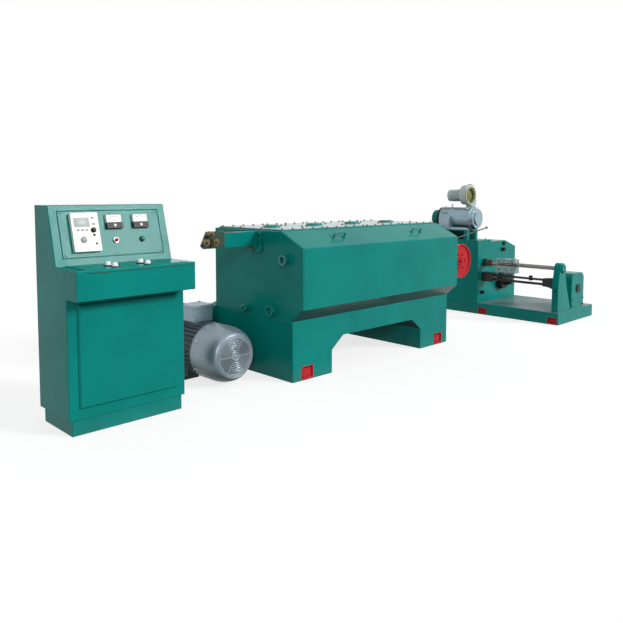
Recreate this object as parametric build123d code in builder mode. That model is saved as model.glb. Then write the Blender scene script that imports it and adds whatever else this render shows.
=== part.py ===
from build123d import *
import os

# A slip wire drawing line, in millimetres. From left to right along X: a control console, the
# belt drive's main motor, the drawing machine, and a bobbin take-up. Y runs from the operator's
# side to the back, Z up. The origin is on the floor under the middle of the line.

# Line layout
console_width = 780
console_gap = 890
main_length = 2000
takeup_gap = 1500
takeup_width = 880
takeup_lead = 400
takeup_bed_length = 990
takeup_cabinet_depth = 600
belt_guard_depth = 100
console_setback = 80

# Control console
console_depth = 420
console_height = 1340
plinth_height = 95
plinth_inset = 20
plinth_toe = 8
console_head_depth = 185
desk_height = 980
desk_ledge = 135
desk_reach = 140
desk_apron = 175
desk_plate_thickness = 4
desk_plate_inset = 55
desk_plate_margin = 10
front_panel_margin = 62
front_panel_height = 615
front_panel_thickness = 14
front_panel_bevel = 10
sheet_edge = 5

# Instruments on the console's sloped face
panel_width = 670
panel_height = 286
panel_rise = 191
panel_thickness = 6
panel_gap = 4
controller_width = 170
controller_height = 240
controller_depth = 28
controller_offset = -184
controller_rise = 198
controller_window_width = 98
controller_window_height = 60
controller_window_shift = -22
controller_window_rise = 60
controller_window_depth = 3
controller_knob_drop = 48
controller_knob_radius = 13
controller_knob_height = 14
meter_width = 106
meter_height = 90
meter_depth = 16
meter_bezel_height = 38
meter_bezel_lip = 5
meter_screw_radius = 5
meter_offsets = (13, 195)
meter_rise = 261
lamp_radius = 13
lamp_ring = 17
lamp_ring_height = 6
lamp_height = 20
lamp_rise = 143
button_offsets = (-140, 72)
button_setbacks = (35, 120)
button_radius = 15
button_ring = 20
button_ring_height = 8
button_height = 22

# Main motor, a fan-cooled foot-mounted frame
motor_offset = 360
motor_height = 225
motor_front = 225
motor_cowl_radius = 210
motor_cowl_length = 270
motor_cowl_face = 150
motor_cowl_shoulder = 160
motor_cowl_wall = 4
motor_frame_length = 425
motor_core_radius = 182
motor_fin_radius = 206
motor_fin_thickness = 6
motor_fin_count = 36
motor_flange = 14
motor_shield_radius = 130
motor_shaft_radius = 30
motor_shaft_length = 70
motor_foot_spacing_x = 356
motor_foot_spacing_y = 210
motor_foot_width = 76
motor_foot_length = 270
motor_foot_thickness = 26
motor_foot_hole = 19
terminal_box_width = 190
terminal_box_length = 190
terminal_box_height = 125
terminal_box_setback = 132
terminal_lid = 18
terminal_lid_lip = 6
grille_hub = 34
grille_rings = 6
grille_slot = 9
grille_pitch = 17
grille_spokes = 6
grille_spoke_width = 10

# Drawing machine
main_depth = 960
main_height = 1140
bed_height = 460
leg_width = 420
arch_height = 285
arch_chamfer_x = 130
arch_chamfer_z = 102
chamber_overhang = 112
chamber_undercut = 100
shoulder_drop = 128
chamfer_run = 235
chamber_depth = 600
cover_sheet = 5
cover_margin = 14
cover_gap = 3
fold_radius = 12
casting_edge = 8
top_lid_thickness = 12
top_lid_count = 4
top_lid_gap = 8
top_lid_margin = 26
top_lid_edge = 3
inspection_cap_radius = 75
inspection_cap_height = 10
handle_wire = 7
cover_handle_length = 120
cover_handle_height = 38

# Foundation pockets, lined with open-fronted boxes
anchor_inset = 150
anchor_width = 130
anchor_depth = 95
anchor_height = 106
anchor_wall = 8
anchor_floor = 20
anchor_hole = 24
takeup_anchor_inset = 70
takeup_anchor_width = 108
takeup_anchor_height = 76

# Wire inlet on the left end
inlet_y = 400
inlet_arm_drop = 21
inlet_arm_height = 110
inlet_arm_depth = 70
inlet_arm_length = 300
inlet_flange_thickness = 18
inlet_flange_lead = 55
inlet_flange_lip = 10
inlet_flange_height = 165
inlet_plate_thickness = 14
inlet_plate_length = 197
inlet_plate_height = 126
inlet_plate_rise = 15
inlet_plate_crown = 147
inlet_plate_slant = 104
inlet_plate_toe = 25
inlet_plate_round = 8
inlet_cap = 14
roller_radius = 24
roller_width = 42
roller_pin_radius = 8
roller_standoff = 5
roller_clearance = 0.06
roller_head_radius = 13
roller_head_thickness = 6
roller_play = 2
roller_setback = 91
roller_pitch = 82
roller_rise = 57
roller_drop = 83
roller_groove_width = 17
roller_groove_depth = 6
wire_port_radius = 10
wire_port_depth = 40

# Coolant and oil unions on the left end
coolant_inlet_y = 67
coolant_inlet_drop = 221
coolant_inlet_bore = 26
coolant_outlet_y = 222
coolant_outlet_rise = 61
coolant_outlet_bore = 28
oil_port_y = 533
oil_port_rise = 48
oil_port_bore = 15
union_wall = 9
union_collar = 14
union_collar_length = 12
union_length = 46

# Finishing capstan beside the right end
capstan_offset = 255
capstan_height = 756
capstan_front = 10
capstan_radius = 165
capstan_width = 70
capstan_rim = 22
capstan_groove = 9
capstan_dish = 14
capstan_hub_radius = 48
capstan_nose_radius = 29
capstan_shaft_radius = 30
capstan_shaft_clearance = 0.06
capstan_running_gap = 12
capstan_housing_depth = 190
capstan_housing_wall = 75
capstan_shaft_reach = 150

# Belt drive at the back of the drawing machine
main_input_offset = 200
main_input_height = 330
main_guard_radius = 190
motor_guard_radius = 140
guard_edge = 12
shaft_end_gap = 5

# Bobbin take-up
takeup_bed_height = 130
takeup_cabinet_height = 842
cabinet_chamfer_x = 250
cabinet_chamfer_z = 84
takeup_bed_edge = 6
spindle_offset = 520
spindle_height = 350
spindle_shaft_radius = 40
spindle_clearance = 0.06
spindle_shaft_reach = 160
spindle_cap_radius = 102
spindle_cap_thickness = 26
spindle_gap = 8
spindle_flange_radius = 92
spindle_flange_thickness = 36
spindle_cone_base = 56
spindle_cone_tip = 30
spindle_cone_length = 92
drive_dog_radius = 13
drive_dog_circle = 70
drive_dog_length = 48

tailstock_width = 310
tailstock_depth = 200
tailstock_rise = 176
tailstock_round = 70
tailstock_setback = 20
tail_quill_radius = 48
tail_quill_length = 46
tail_quill_clearance = 0.06
tail_plug_length = 12

# Traverse in front of the bobbin
traverse_offset = 140
traverse_shaft_rise = 250
traverse_shaft_radius = 22.5
traverse_boss_radius = 44
traverse_boss_length = 45
traverse_rod_radius = 13
traverse_rod_rises = (110, 61)
traverse_bracket_setback = 25
traverse_bracket_thickness = 70
traverse_bracket_gap = 15
traverse_bracket_left = 100
traverse_bracket_crown = 62
traverse_bracket_flare = 31
traverse_bracket_waist = 180
traverse_cap_radius = 45
traverse_cap_thickness = 16
traverse_bearing_length = 145
traverse_bearing_width = 96
traverse_bearing_height = 112
traverse_bearing_taper = 26
traverse_gearbox_length = 145
traverse_gearbox_width = 110
traverse_gearbox_height = 104
carriage_start = 190
carriage_length = 235
carriage_width = 96
carriage_height = 160
carriage_drop = 17
carriage_clearance = 0.08
carriage_slot = 34
carriage_arm_width = 90
carriage_arm_thickness = 16
carriage_arm_drop = 94
stop_collar_gap = 80
stop_collar_radius = 40
stop_collar_width = 36
stop_dog_place = 381
stop_dog_width = 26
stop_dog_length = 40
stop_dog_rise = 35
stop_dog_depth = 20

# Take-up motor and its blower
drive_motor_offset = 140
drive_motor_setback = 100
drive_motor_length = 495
drive_motor_radius = 134
drive_motor_shield = 62
drive_motor_shield_radius = 116
drive_motor_nose_radius = 78
drive_motor_nose_length = 18
drive_motor_ring_width = 20
drive_motor_ring_rise = 6
drive_motor_foot_width = 250
drive_motor_foot_height = 28
drive_motor_shaft_radius = 24
drive_motor_shaft_length = 60
drive_box_width = 40
drive_box_length = 150
drive_box_height = 130
drive_box_setback = 280
stand_height = 142
stand_base = 24
stand_base_left = 135
stand_base_right = 180
stand_base_setback = 12
stand_base_length = 530
stand_plate = 14
stand_leg = 46
stand_clear = 4
stand_width = 230
lever_radius = 7
lever_length = 470
lever_angle = 19.5
lever_setback = 241
lever_side = 128
lever_knob_radius = 15
blower_setback = 107
blower_width = 80
blower_rise = 277
blower_eye_radius = 97
blower_ring_radius = 110
blower_ring_length = 12
blower_eye_depth = 66
volute_radius = 112
volute_growth = 4
blower_neck_width = 86
blower_flange = 12
blower_motor_radius = 68
blower_motor_length = 168
blower_motor_neck_radius = 50
blower_motor_neck_length = 30
drive_guard_radius = 96
spindle_guard_radius = 165

# Places worked out from the sizes above
line_length = console_width + console_gap + main_length + takeup_gap + takeup_width
line_depth = takeup_bed_length + takeup_cabinet_depth + belt_guard_depth
console_left = -line_length / 2
console_mid = console_left + console_width / 2
main_left = console_left + console_width + console_gap
main_mid = main_left + main_length / 2
main_right = main_left + main_length
takeup_left = main_right + takeup_gap
takeup_mid = takeup_left + takeup_width / 2
takeup_front = -line_depth / 2
takeup_face = takeup_front + takeup_bed_length
takeup_back = takeup_face + takeup_cabinet_depth
main_front = takeup_front + takeup_lead
main_back = main_front + main_depth
main_top = main_height - top_lid_thickness
chamber_bottom = bed_height + chamber_undercut
chamber_shoulder = main_height - shoulder_drop
inlet_arm_top = main_height - inlet_arm_drop
roller_lower_height = main_height - roller_drop
console_front = main_front + console_setback
arm_y = main_front + inlet_y
wire_in_y = arm_y - roller_standoff - roller_width / 2
wire_in_height = roller_lower_height + roller_rise / 2
capstan_y = main_front + capstan_front
wire_out_y = capstan_y + capstan_width / 2
wire_out_height = capstan_height + capstan_radius - capstan_groove
tailstock_height = spindle_height + tailstock_rise
traverse_shaft_height = spindle_height + traverse_shaft_rise
traverse_rod_heights = [spindle_height + rise for rise in traverse_rod_rises]
drive_motor_height = takeup_cabinet_height + stand_height + drive_motor_radius
blower_height = drive_motor_height + blower_rise


def front_view(x, y, z=0):
    """A plane seen by the operator: sketches run along X and up, and extrude towards the front."""
    return Plane(origin=(x, y, z), x_dir=(1, 0, 0), z_dir=(0, -1, 0))


def side_view(x, y, z=0):
    """A plane seen from the left end: sketches run along Y and up, and extrude along the line."""
    return Plane(origin=(x, y, z), x_dir=(0, 1, 0), z_dir=(1, 0, 0))


def cross_axis(x, y, z):
    """An axis of rotation that runs from front to back."""
    return Axis((x, y, z), (0, 1, 0))


def turned(x, y, z, points):
    """A solid turned about a front-to-back axis, from an outline of (distance behind y, radius)."""
    with BuildPart() as piece:
        with BuildSketch(side_view(x, y, z)):
            with BuildLine():
                Polyline(*points, close=True)
            make_face()
        revolve(axis=cross_axis(x, y, z))
    return piece.part


def bow_handle(plane, length, height):
    """A round-wire bow handle standing on a plane, along the plane's X axis."""
    ends = length / 2
    foot = Plane(plane.from_local_coords(Vector(-ends, 0)), x_dir=plane.z_dir, z_dir=plane.y_dir)
    with BuildPart() as piece:
        with BuildLine(plane):
            FilletPolyline((-ends, 0), (-ends, height), (ends, height), (ends, 0), radius=2 * handle_wire)
        with BuildSketch(foot):
            Circle(handle_wire)
        sweep()
    return piece.part


# Foundation pockets
def pocket_plane(x, y, inward):
    """Floor plane at the middle of a pocket's mouth, with its Y axis pointing into the bed."""
    return Plane(origin=(x, y, 0), x_dir=(inward[1], -inward[0], 0), z_dir=(0, 0, 1))


def pocket_blocks(planes, width, height):
    """The room each rectangular pocket takes out of a bed."""
    with BuildPart() as blocks:
        with BuildSketch(*planes):
            Rectangle(width, anchor_depth, align=(Align.CENTER, Align.MIN))
        extrude(amount=height)
    return blocks.part


def anchor_boxes(planes, width, height):
    """Open-fronted boxes that line the pockets, their floors drilled for anchor bolts."""
    with BuildPart() as boxes:
        with BuildSketch(*planes):
            Rectangle(width, anchor_depth, align=(Align.CENTER, Align.MIN))
        extrude(amount=height)
        with BuildSketch(*[plane.offset(anchor_floor) for plane in planes]):
            Rectangle(width - 2 * anchor_wall, anchor_depth - anchor_wall, align=(Align.CENTER, Align.MIN))
        extrude(amount=height - anchor_floor - anchor_wall, mode=Mode.SUBTRACT)
        with BuildSketch(*planes):
            with Locations((0, anchor_depth / 2)):
                Circle(anchor_hole / 2)
        extrude(amount=anchor_floor, mode=Mode.SUBTRACT)
    return boxes.part


main_pockets = [
    pocket_plane(x, y, (0, inward))
    for x in (main_left + anchor_inset, main_right - anchor_inset)
    for y, inward in ((main_front, 1), (main_back, -1))
]
takeup_pockets = [
    pocket_plane(x, y, (inward, 0))
    for x, inward in ((takeup_left, 1), (takeup_left + takeup_width, -1))
    for y in (takeup_front + takeup_anchor_inset, takeup_face - takeup_anchor_inset)
]

# Control console: a folded cabinet on a recessed plinth
slope_rise = console_height - desk_height
slope_run = console_depth - console_head_depth - desk_ledge
slope_plane = Plane(
    origin=(console_mid, console_front + desk_ledge, desk_height),
    x_dir=(1, 0, 0),
    z_dir=(0, -slope_rise, slope_run),
)
desk_plane = Plane.XY.offset(desk_height)

with BuildPart() as console_plinth:
    with BuildSketch(Plane((console_mid, console_front + plinth_toe, 0))):
        Rectangle(
            console_width - 2 * plinth_inset,
            console_depth - plinth_toe - plinth_inset,
            align=(Align.CENTER, Align.MIN),
        )
    extrude(amount=plinth_height)
    fillet(console_plinth.edges().filter_by(Axis.Z), radius=sheet_edge)

with BuildPart() as console_cabinet:
    with BuildSketch(side_view(console_left, console_front)):
        with BuildLine():
            Polyline(
                (0, plinth_height),
                (0, desk_height),
                (desk_ledge, desk_height),
                (desk_ledge + slope_run, console_height),
                (console_depth, console_height),
                (console_depth, plinth_height),
                close=True,
            )
        make_face()
    extrude(amount=console_width)
    sheet_bends = console_cabinet.edges().filter_by(Axis.X).group_by(Axis.Z)[-1]
    side_edges = console_cabinet.edges().filter_by(Axis.X, reverse=True).group_by(Axis.Z)[1:]
    fillet(sheet_bends + [edge for level in side_edges for edge in level], radius=sheet_edge)
    with BuildSketch(slope_plane):
        with Locations((0, panel_rise)):
            Rectangle(panel_width + 2 * panel_gap, panel_height + 2 * panel_gap)
    extrude(amount=-panel_thickness, mode=Mode.SUBTRACT)

with BuildPart() as console_front_panel:
    panel_middle = plinth_height + front_panel_margin + front_panel_height / 2
    with BuildSketch(front_view(console_mid, console_front, panel_middle)):
        Rectangle(console_width - 2 * front_panel_margin, front_panel_height)
    extrude(amount=front_panel_thickness)
    chamfer(console_front_panel.faces().sort_by(Axis.Y)[0].edges(), length=front_panel_bevel)

with BuildPart() as console_desk:
    with BuildSketch(Plane((console_mid, console_front, desk_height))):
        Rectangle(console_width, desk_reach, align=(Align.CENTER, Align.MAX))
    extrude(amount=-desk_apron)
    desk_face = console_desk.faces().sort_by(Axis.Y)[0]
    fillet(desk_face.edges(), radius=sheet_edge)

with BuildPart() as desk_button_plate:
    plate_depth = desk_reach + desk_ledge - 2 * desk_plate_margin
    with BuildSketch(Plane((console_mid, console_front - desk_reach + desk_plate_margin, desk_height))):
        Rectangle(console_width - 2 * desk_plate_inset, plate_depth, align=(Align.CENTER, Align.MIN))
    extrude(amount=desk_plate_thickness)

with BuildPart() as desk_buttons:
    button_spots = [
        (console_mid + x, console_front - desk_reach + y) for x in button_offsets for y in button_setbacks
    ]
    with BuildSketch(desk_plane.offset(desk_plate_thickness)):
        with Locations(*button_spots):
            Circle(button_ring)
    extrude(amount=button_ring_height)
    with BuildSketch(desk_plane.offset(desk_plate_thickness + button_ring_height)):
        with Locations(*button_spots):
            Circle(button_radius)
    extrude(amount=button_height - button_ring_height, taper=6)

with BuildPart() as instrument_panel:
    with BuildSketch(slope_plane):
        with Locations((0, panel_rise)):
            Rectangle(panel_width, panel_height)
    extrude(amount=-panel_thickness)

with BuildPart() as drive_controller:
    with BuildSketch(slope_plane):
        with Locations((controller_offset, controller_rise)):
            RectangleRounded(controller_width, controller_height, radius=sheet_edge)
    extrude(amount=controller_depth)
    controller_axis = controller_offset + controller_window_shift
    with BuildSketch(slope_plane.offset(controller_depth)):
        with Locations((controller_axis, controller_rise + controller_window_rise)):
            Rectangle(controller_window_width, controller_window_height)
    extrude(amount=-controller_window_depth, mode=Mode.SUBTRACT)
    with BuildSketch(slope_plane.offset(controller_depth)):
        with Locations((controller_axis, controller_rise - controller_knob_drop)):
            Circle(controller_knob_radius)
    extrude(amount=controller_knob_height, taper=8)

meter_places = [(x, meter_rise) for x in meter_offsets]
bezel_places = [(x, meter_rise - (meter_height - meter_bezel_height) / 2) for x in meter_offsets]
with BuildPart() as meter_faces:
    with BuildSketch(slope_plane):
        with Locations(*[(x, y + meter_bezel_height / 2) for x, y in meter_places]):
            Rectangle(meter_width, meter_height - meter_bezel_height)
    extrude(amount=meter_depth)

with BuildPart() as meter_bezels:
    with BuildSketch(slope_plane):
        with Locations(*bezel_places):
            Rectangle(meter_width, meter_bezel_height)
    extrude(amount=meter_depth + meter_bezel_lip)
    with BuildSketch(slope_plane.offset(meter_depth + meter_bezel_lip)):
        with Locations(*bezel_places):
            Circle(meter_screw_radius)
    extrude(amount=-controller_window_depth, mode=Mode.SUBTRACT)


def pilot_lamp(offset):
    """A domed pilot lamp in a ring, on the instrument panel."""
    with BuildPart() as lamp:
        with BuildSketch(slope_plane):
            with Locations((offset, lamp_rise)):
                Circle(lamp_ring)
        extrude(amount=lamp_ring_height)
        with BuildSketch(slope_plane.offset(lamp_ring_height)):
            with Locations((offset, lamp_rise)):
                Circle(lamp_radius)
        extrude(amount=lamp_height - lamp_ring_height, taper=12)
    return lamp.part


with BuildPart() as stop_lamp:
    add(pilot_lamp(meter_offsets[0]))

with BuildPart() as run_lamp:
    add(pilot_lamp(meter_offsets[1]))

# Main motor: finned frame on feet, fan cowl towards the operator, shaft into the belt guard
motor_x = main_left - motor_offset
motor_y = main_front + motor_front
frame_start = motor_cowl_length
frame_end = frame_start + motor_frame_length
shield_end = main_depth - motor_front

with BuildPart() as motor_frame:
    add(
        turned(
            motor_x,
            motor_y,
            motor_height,
            [
                (frame_start, 0),
                (frame_start, motor_cowl_radius),
                (frame_start + motor_flange, motor_cowl_radius),
                (frame_start + motor_flange, motor_core_radius),
                (frame_end - motor_flange, motor_core_radius),
                (frame_end - motor_flange, motor_fin_radius),
                (frame_end, motor_fin_radius),
                (shield_end, motor_shield_radius),
                (shield_end, motor_shaft_radius),
                (shield_end + motor_shaft_length, motor_shaft_radius),
                (shield_end + motor_shaft_length, 0),
            ],
        )
    )
    fin_plane = front_view(motor_x, motor_y + frame_start, motor_height)
    with BuildSketch(fin_plane):
        with PolarLocations(0, motor_fin_count):
            Rectangle(motor_fin_radius, motor_fin_thickness, align=(Align.MIN, Align.CENTER))
    extrude(amount=-motor_frame_length)
    foot_span = motor_foot_spacing_x + motor_foot_width
    foot_back = motor_y + frame_end - motor_flange
    foot_plane = front_view(motor_x, foot_back)
    with BuildSketch(foot_plane):
        with Locations((0, motor_foot_thickness / 2)):
            Rectangle(foot_span, motor_foot_thickness)
        with Locations((0, motor_height / 2)):
            Rectangle(motor_foot_spacing_x - motor_foot_width, motor_height)
    extrude(amount=motor_foot_length)
    with BuildSketch(foot_plane):
        with Locations((0, (motor_height - motor_core_radius) / 2)):
            Rectangle(motor_foot_width, motor_height - motor_core_radius)
    extrude(amount=motor_foot_length, mode=Mode.SUBTRACT)
    saddle_top = motor_height + motor_fin_radius
    with BuildSketch(Plane((motor_x, motor_y + frame_start + terminal_box_setback, saddle_top))):
        Rectangle(
            terminal_box_width - 4 * terminal_lid_lip,
            terminal_box_length - 4 * terminal_lid_lip,
            align=(Align.CENTER, Align.MIN),
        )
    extrude(amount=motor_core_radius - motor_fin_radius - motor_fin_thickness)
    with Locations(Location((motor_x, foot_back - motor_foot_length / 2, motor_foot_thickness))):
        with GridLocations(motor_foot_spacing_x, motor_foot_spacing_y, 2, 2):
            Hole(radius=motor_foot_hole / 2, depth=motor_foot_thickness)

with BuildPart() as motor_fan_cowl:
    shoulder_start = (motor_cowl_shoulder, motor_cowl_face)
    cowl_inside = motor_cowl_radius - motor_cowl_wall
    with BuildSketch(side_view(motor_x, motor_y, motor_height)):
        with BuildLine():
            Line((0, 0), (0, motor_cowl_face))
            EllipticalCenterArc(
                shoulder_start, motor_cowl_shoulder, motor_cowl_radius - motor_cowl_face, 90, arc_size=90
            )
            Polyline(
                (motor_cowl_shoulder, motor_cowl_radius),
                (motor_cowl_length, motor_cowl_radius),
                (motor_cowl_length, cowl_inside),
                (motor_cowl_shoulder, cowl_inside),
            )
            EllipticalCenterArc(
                shoulder_start,
                motor_cowl_shoulder - motor_cowl_wall,
                cowl_inside - motor_cowl_face,
                90,
                arc_size=90,
            )
            Polyline((motor_cowl_wall, motor_cowl_face), (motor_cowl_wall, 0), (0, 0))
        make_face()
    revolve(axis=cross_axis(motor_x, motor_y, motor_height))
    with BuildSketch(front_view(motor_x, motor_y, motor_height)):
        for i in reversed(range(grille_rings)):
            Circle(grille_hub + grille_pitch * i + grille_slot)
            Circle(grille_hub + grille_pitch * i, mode=Mode.SUBTRACT)
        with PolarLocations(0, grille_spokes):
            Rectangle(
                motor_cowl_face, grille_spoke_width, align=(Align.MIN, Align.CENTER), mode=Mode.SUBTRACT
            )
    extrude(amount=-motor_cowl_wall, mode=Mode.SUBTRACT)

with BuildPart() as motor_terminal_box:
    box_middle = motor_y + frame_start + terminal_box_setback + terminal_box_length / 2
    with BuildSketch(Plane((motor_x, box_middle - 2 * terminal_lid_lip, saddle_top))):
        RectangleRounded(
            terminal_box_width - 2 * terminal_lid_lip,
            terminal_box_length - 2 * terminal_lid_lip,
            radius=2 * sheet_edge,
        )
    extrude(amount=terminal_box_height - terminal_lid)
    with BuildSketch(Plane((motor_x, box_middle - 2 * terminal_lid_lip, saddle_top + terminal_box_height))):
        RectangleRounded(terminal_box_width, terminal_box_length, radius=2 * sheet_edge)
    extrude(amount=-terminal_lid)
    chamfer(motor_terminal_box.faces().sort_by(Axis.Z)[-1].edges(), length=terminal_lid_lip)

# Drawing machine bed: two box legs joined by a beam, with a chamfered archway under it
with BuildPart() as main_bed:
    arch_half = main_length / 2 - leg_width
    with BuildSketch(front_view(main_mid, main_front)):
        Rectangle(main_length, bed_height, align=(Align.CENTER, Align.MIN))
        with BuildLine():
            Polyline(
                (-arch_half, 0),
                (-arch_half, arch_height - arch_chamfer_z),
                (arch_chamfer_x - arch_half, arch_height),
                (arch_half - arch_chamfer_x, arch_height),
                (arch_half, arch_height - arch_chamfer_z),
                (arch_half, 0),
                close=True,
            )
        make_face(mode=Mode.SUBTRACT)
    extrude(amount=-main_depth)
    bed_uprights = main_bed.edges().filter_by(Axis.Z).group_by(Axis.X)
    fillet(bed_uprights[0] + bed_uprights[-1], radius=casting_edge)
    add(pocket_blocks(main_pockets, anchor_width, anchor_height), mode=Mode.SUBTRACT)

with BuildPart() as main_anchor_boxes:
    add(anchor_boxes(main_pockets, anchor_width, anchor_height))

with BuildPart() as gearbox_housing:
    with BuildSketch(Plane((main_mid, main_front + chamber_depth, bed_height))):
        Rectangle(main_length, main_depth - chamber_depth, align=(Align.CENTER, Align.MIN))
    extrude(amount=main_top - bed_height)
    housing_top = gearbox_housing.faces().sort_by(Axis.Z)[-1].edges().sort_by(Axis.Y)[1:]
    housing_back = gearbox_housing.edges().filter_by(Axis.Z).group_by(Axis.Y)[-1]
    fillet(housing_top + housing_back, radius=casting_edge)

# The drawing chamber overhangs the bed in front, under a folded cover with a sloped shoulder
chamber_front = [
    (-chamber_overhang, chamber_bottom),
    (-chamber_overhang, chamber_shoulder),
    (chamfer_run - chamber_overhang, main_top),
]


def cover_sheet_metal(margin):
    """The folded cover, ending at a margin from both ends of the machine."""
    with BuildPart() as piece:
        with BuildSketch(side_view(main_left + margin, main_front)):
            with BuildLine():
                FilletPolyline(*chamber_front, radius=fold_radius)
                offset(amount=cover_sheet, side=Side.RIGHT)
            make_face()
        extrude(amount=main_length - 2 * margin)
    return piece.part


with BuildPart() as front_cover:
    add(cover_sheet_metal(cover_margin))

with BuildPart() as drawing_chamber:
    with BuildSketch(side_view(main_left, main_front)):
        with BuildLine():
            FilletPolyline(*chamber_front, radius=fold_radius)
            Polyline(chamber_front[-1], (chamber_depth, main_top), (chamber_depth, bed_height))
            Polyline((chamber_depth, bed_height), (0, bed_height), chamber_front[0])
        make_face()
    extrude(amount=main_length)
    end_edges = drawing_chamber.edges().filter_by(Axis.X, reverse=True)
    seated_edges = end_edges.group_by(Axis.Y)[-1] + end_edges.group_by(Axis.Z)[0]
    fillet([edge for edge in end_edges if edge not in seated_edges], radius=casting_edge)
    add(cover_sheet_metal(cover_margin - cover_gap), mode=Mode.SUBTRACT)
    with BuildSketch(side_view(main_left, wire_in_y, wire_in_height)):
        Circle(wire_port_radius)
    extrude(amount=wire_port_depth, mode=Mode.SUBTRACT)
    with BuildSketch(side_view(main_right, wire_out_y, wire_out_height)):
        Circle(wire_port_radius)
    extrude(amount=-wire_port_depth, mode=Mode.SUBTRACT)

# Bolted lids along the flat top, each with a round inspection cap
top_front = main_front + chamfer_run - chamber_overhang + top_lid_margin
top_depth = main_back - top_lid_margin - top_front
lid_pitch = (main_length - 2 * top_lid_margin + top_lid_gap) / top_lid_count
lid_places = [
    (main_left + top_lid_margin + lid_pitch * (i + 0.5) - top_lid_gap / 2, top_front + top_depth / 2)
    for i in range(top_lid_count)
]

with BuildPart() as top_lids:
    with BuildSketch(Plane.XY.offset(main_top)):
        with Locations(*lid_places):
            Rectangle(lid_pitch - top_lid_gap, top_depth)
    extrude(amount=top_lid_thickness)
    with BuildSketch(Plane.XY.offset(main_height)):
        with Locations(*lid_places):
            Circle(inspection_cap_radius)
    extrude(amount=inspection_cap_height)
    lid_faces = top_lids.faces().filter_by(Axis.Z).group_by(Axis.Z)[1:]
    lid_rims = [face.outer_wire().edges() for level in lid_faces for face in level]
    chamfer(lid_rims, length=top_lid_edge)

with BuildPart() as lift_handles:
    shoulder_middle = Vector(
        main_mid, main_front - chamber_overhang + chamfer_run / 2, (chamber_shoulder + main_top) / 2
    )
    shoulder_up = Vector(0, -(main_top - chamber_shoulder), chamfer_run)
    for side in (-1, 1):
        foot = shoulder_middle + Vector(side * main_length / 4, 0, 0)
        handle_plane = Plane(origin=foot, x_dir=(1, 0, 0), z_dir=Vector(1, 0, 0).cross(shoulder_up))
        add(bow_handle(handle_plane, cover_handle_length, cover_handle_height))

# Wire inlet: a bracket on the left end carries a plate with three grooved guide rollers
arm_end = main_left - inlet_flange_thickness - inlet_arm_length
arm_bottom = inlet_arm_top - inlet_arm_height

with BuildPart() as inlet_bracket:
    flange_width = inlet_flange_lead + inlet_arm_depth + inlet_flange_lip
    with BuildSketch(side_view(main_left, arm_y - inlet_flange_lead, inlet_arm_top)):
        Rectangle(flange_width, inlet_flange_height, align=(Align.MIN, Align.MAX))
    extrude(amount=-inlet_flange_thickness)
    flange_bottom = inlet_arm_top - inlet_flange_height
    gusset = inlet_flange_height - inlet_arm_height
    with BuildSketch(front_view(main_left - inlet_flange_thickness, arm_y)):
        with BuildLine():
            Polyline(
                (-gusset, arm_bottom),
                (-inlet_arm_length, arm_bottom),
                (-inlet_arm_length, inlet_arm_top),
                (0, inlet_arm_top),
                (0, flange_bottom),
            )
            CenterArc((-gusset, flange_bottom), gusset, 0, 90)
        make_face()
    extrude(amount=-inlet_arm_depth)
    with BuildSketch(side_view(main_left, wire_in_y, wire_in_height)):
        Circle(wire_port_radius)
    extrude(amount=-inlet_flange_thickness, mode=Mode.SUBTRACT)

roller_places = {
    "inlet_roller_middle": (-roller_pitch / 2, roller_rise),
    "inlet_roller_inner": (0, 0),
    "inlet_roller_outer": (-roller_pitch, 0),
}
roller_back = arm_y - roller_standoff
roller_front = roller_back - roller_width
roller_x = arm_end - inlet_cap - roller_setback
plate_top = inlet_arm_top + inlet_plate_rise

with BuildPart() as inlet_roller_plate:
    with BuildSketch(side_view(arm_end, arm_y + inlet_arm_depth / 2, plate_top)):
        Rectangle(inlet_arm_depth, inlet_plate_height, align=(Align.CENTER, Align.MAX))
    extrude(amount=-inlet_cap)
    with BuildSketch(front_view(arm_end - inlet_cap, arm_y, plate_top)) as plate_outline:
        with BuildLine():
            Polyline(
                (0, 0),
                (-inlet_plate_crown, 0),
                (-inlet_plate_length, -inlet_plate_slant),
                (inlet_plate_toe - inlet_plate_length, -inlet_plate_height),
                (0, -inlet_plate_height),
                close=True,
            )
        make_face()
        fillet(plate_outline.vertices().sort_by(Axis.X)[:3], radius=inlet_plate_round)
    extrude(amount=-inlet_plate_thickness)
    pin_spots = [(roller_x + x, roller_lower_height + z) for x, z in roller_places.values()]
    with BuildSketch(front_view(0, arm_y)):
        with Locations(*pin_spots):
            Circle(roller_pin_radius)
    extrude(amount=roller_standoff + roller_width + roller_play)
    with BuildSketch(front_view(0, roller_front - roller_play)):
        with Locations(*pin_spots):
            Circle(roller_head_radius)
    extrude(amount=roller_head_thickness)


def guide_roller(offset_x, offset_z):
    """A grooved roller that turns freely on its pin."""
    bore = roller_pin_radius + roller_clearance
    return turned(
        roller_x + offset_x,
        roller_front,
        roller_lower_height + offset_z,
        [
            (0, bore),
            (0, roller_radius),
            ((roller_width - roller_groove_width) / 2, roller_radius),
            (roller_width / 2, roller_radius - roller_groove_depth),
            ((roller_width + roller_groove_width) / 2, roller_radius),
            (roller_width, roller_radius),
            (roller_width, bore),
        ],
    )


with BuildPart() as inlet_roller_middle:
    add(guide_roller(*roller_places["inlet_roller_middle"]))

with BuildPart() as inlet_roller_inner:
    add(guide_roller(*roller_places["inlet_roller_inner"]))

with BuildPart() as inlet_roller_outer:
    add(guide_roller(*roller_places["inlet_roller_outer"]))

# Pipe unions for coolant and oil, open towards the left
union_places = [
    (coolant_inlet_y, main_height - coolant_inlet_drop, coolant_inlet_bore),
    (coolant_outlet_y, bed_height + coolant_outlet_rise, coolant_outlet_bore),
    (oil_port_y, bed_height + oil_port_rise, oil_port_bore),
]

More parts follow.
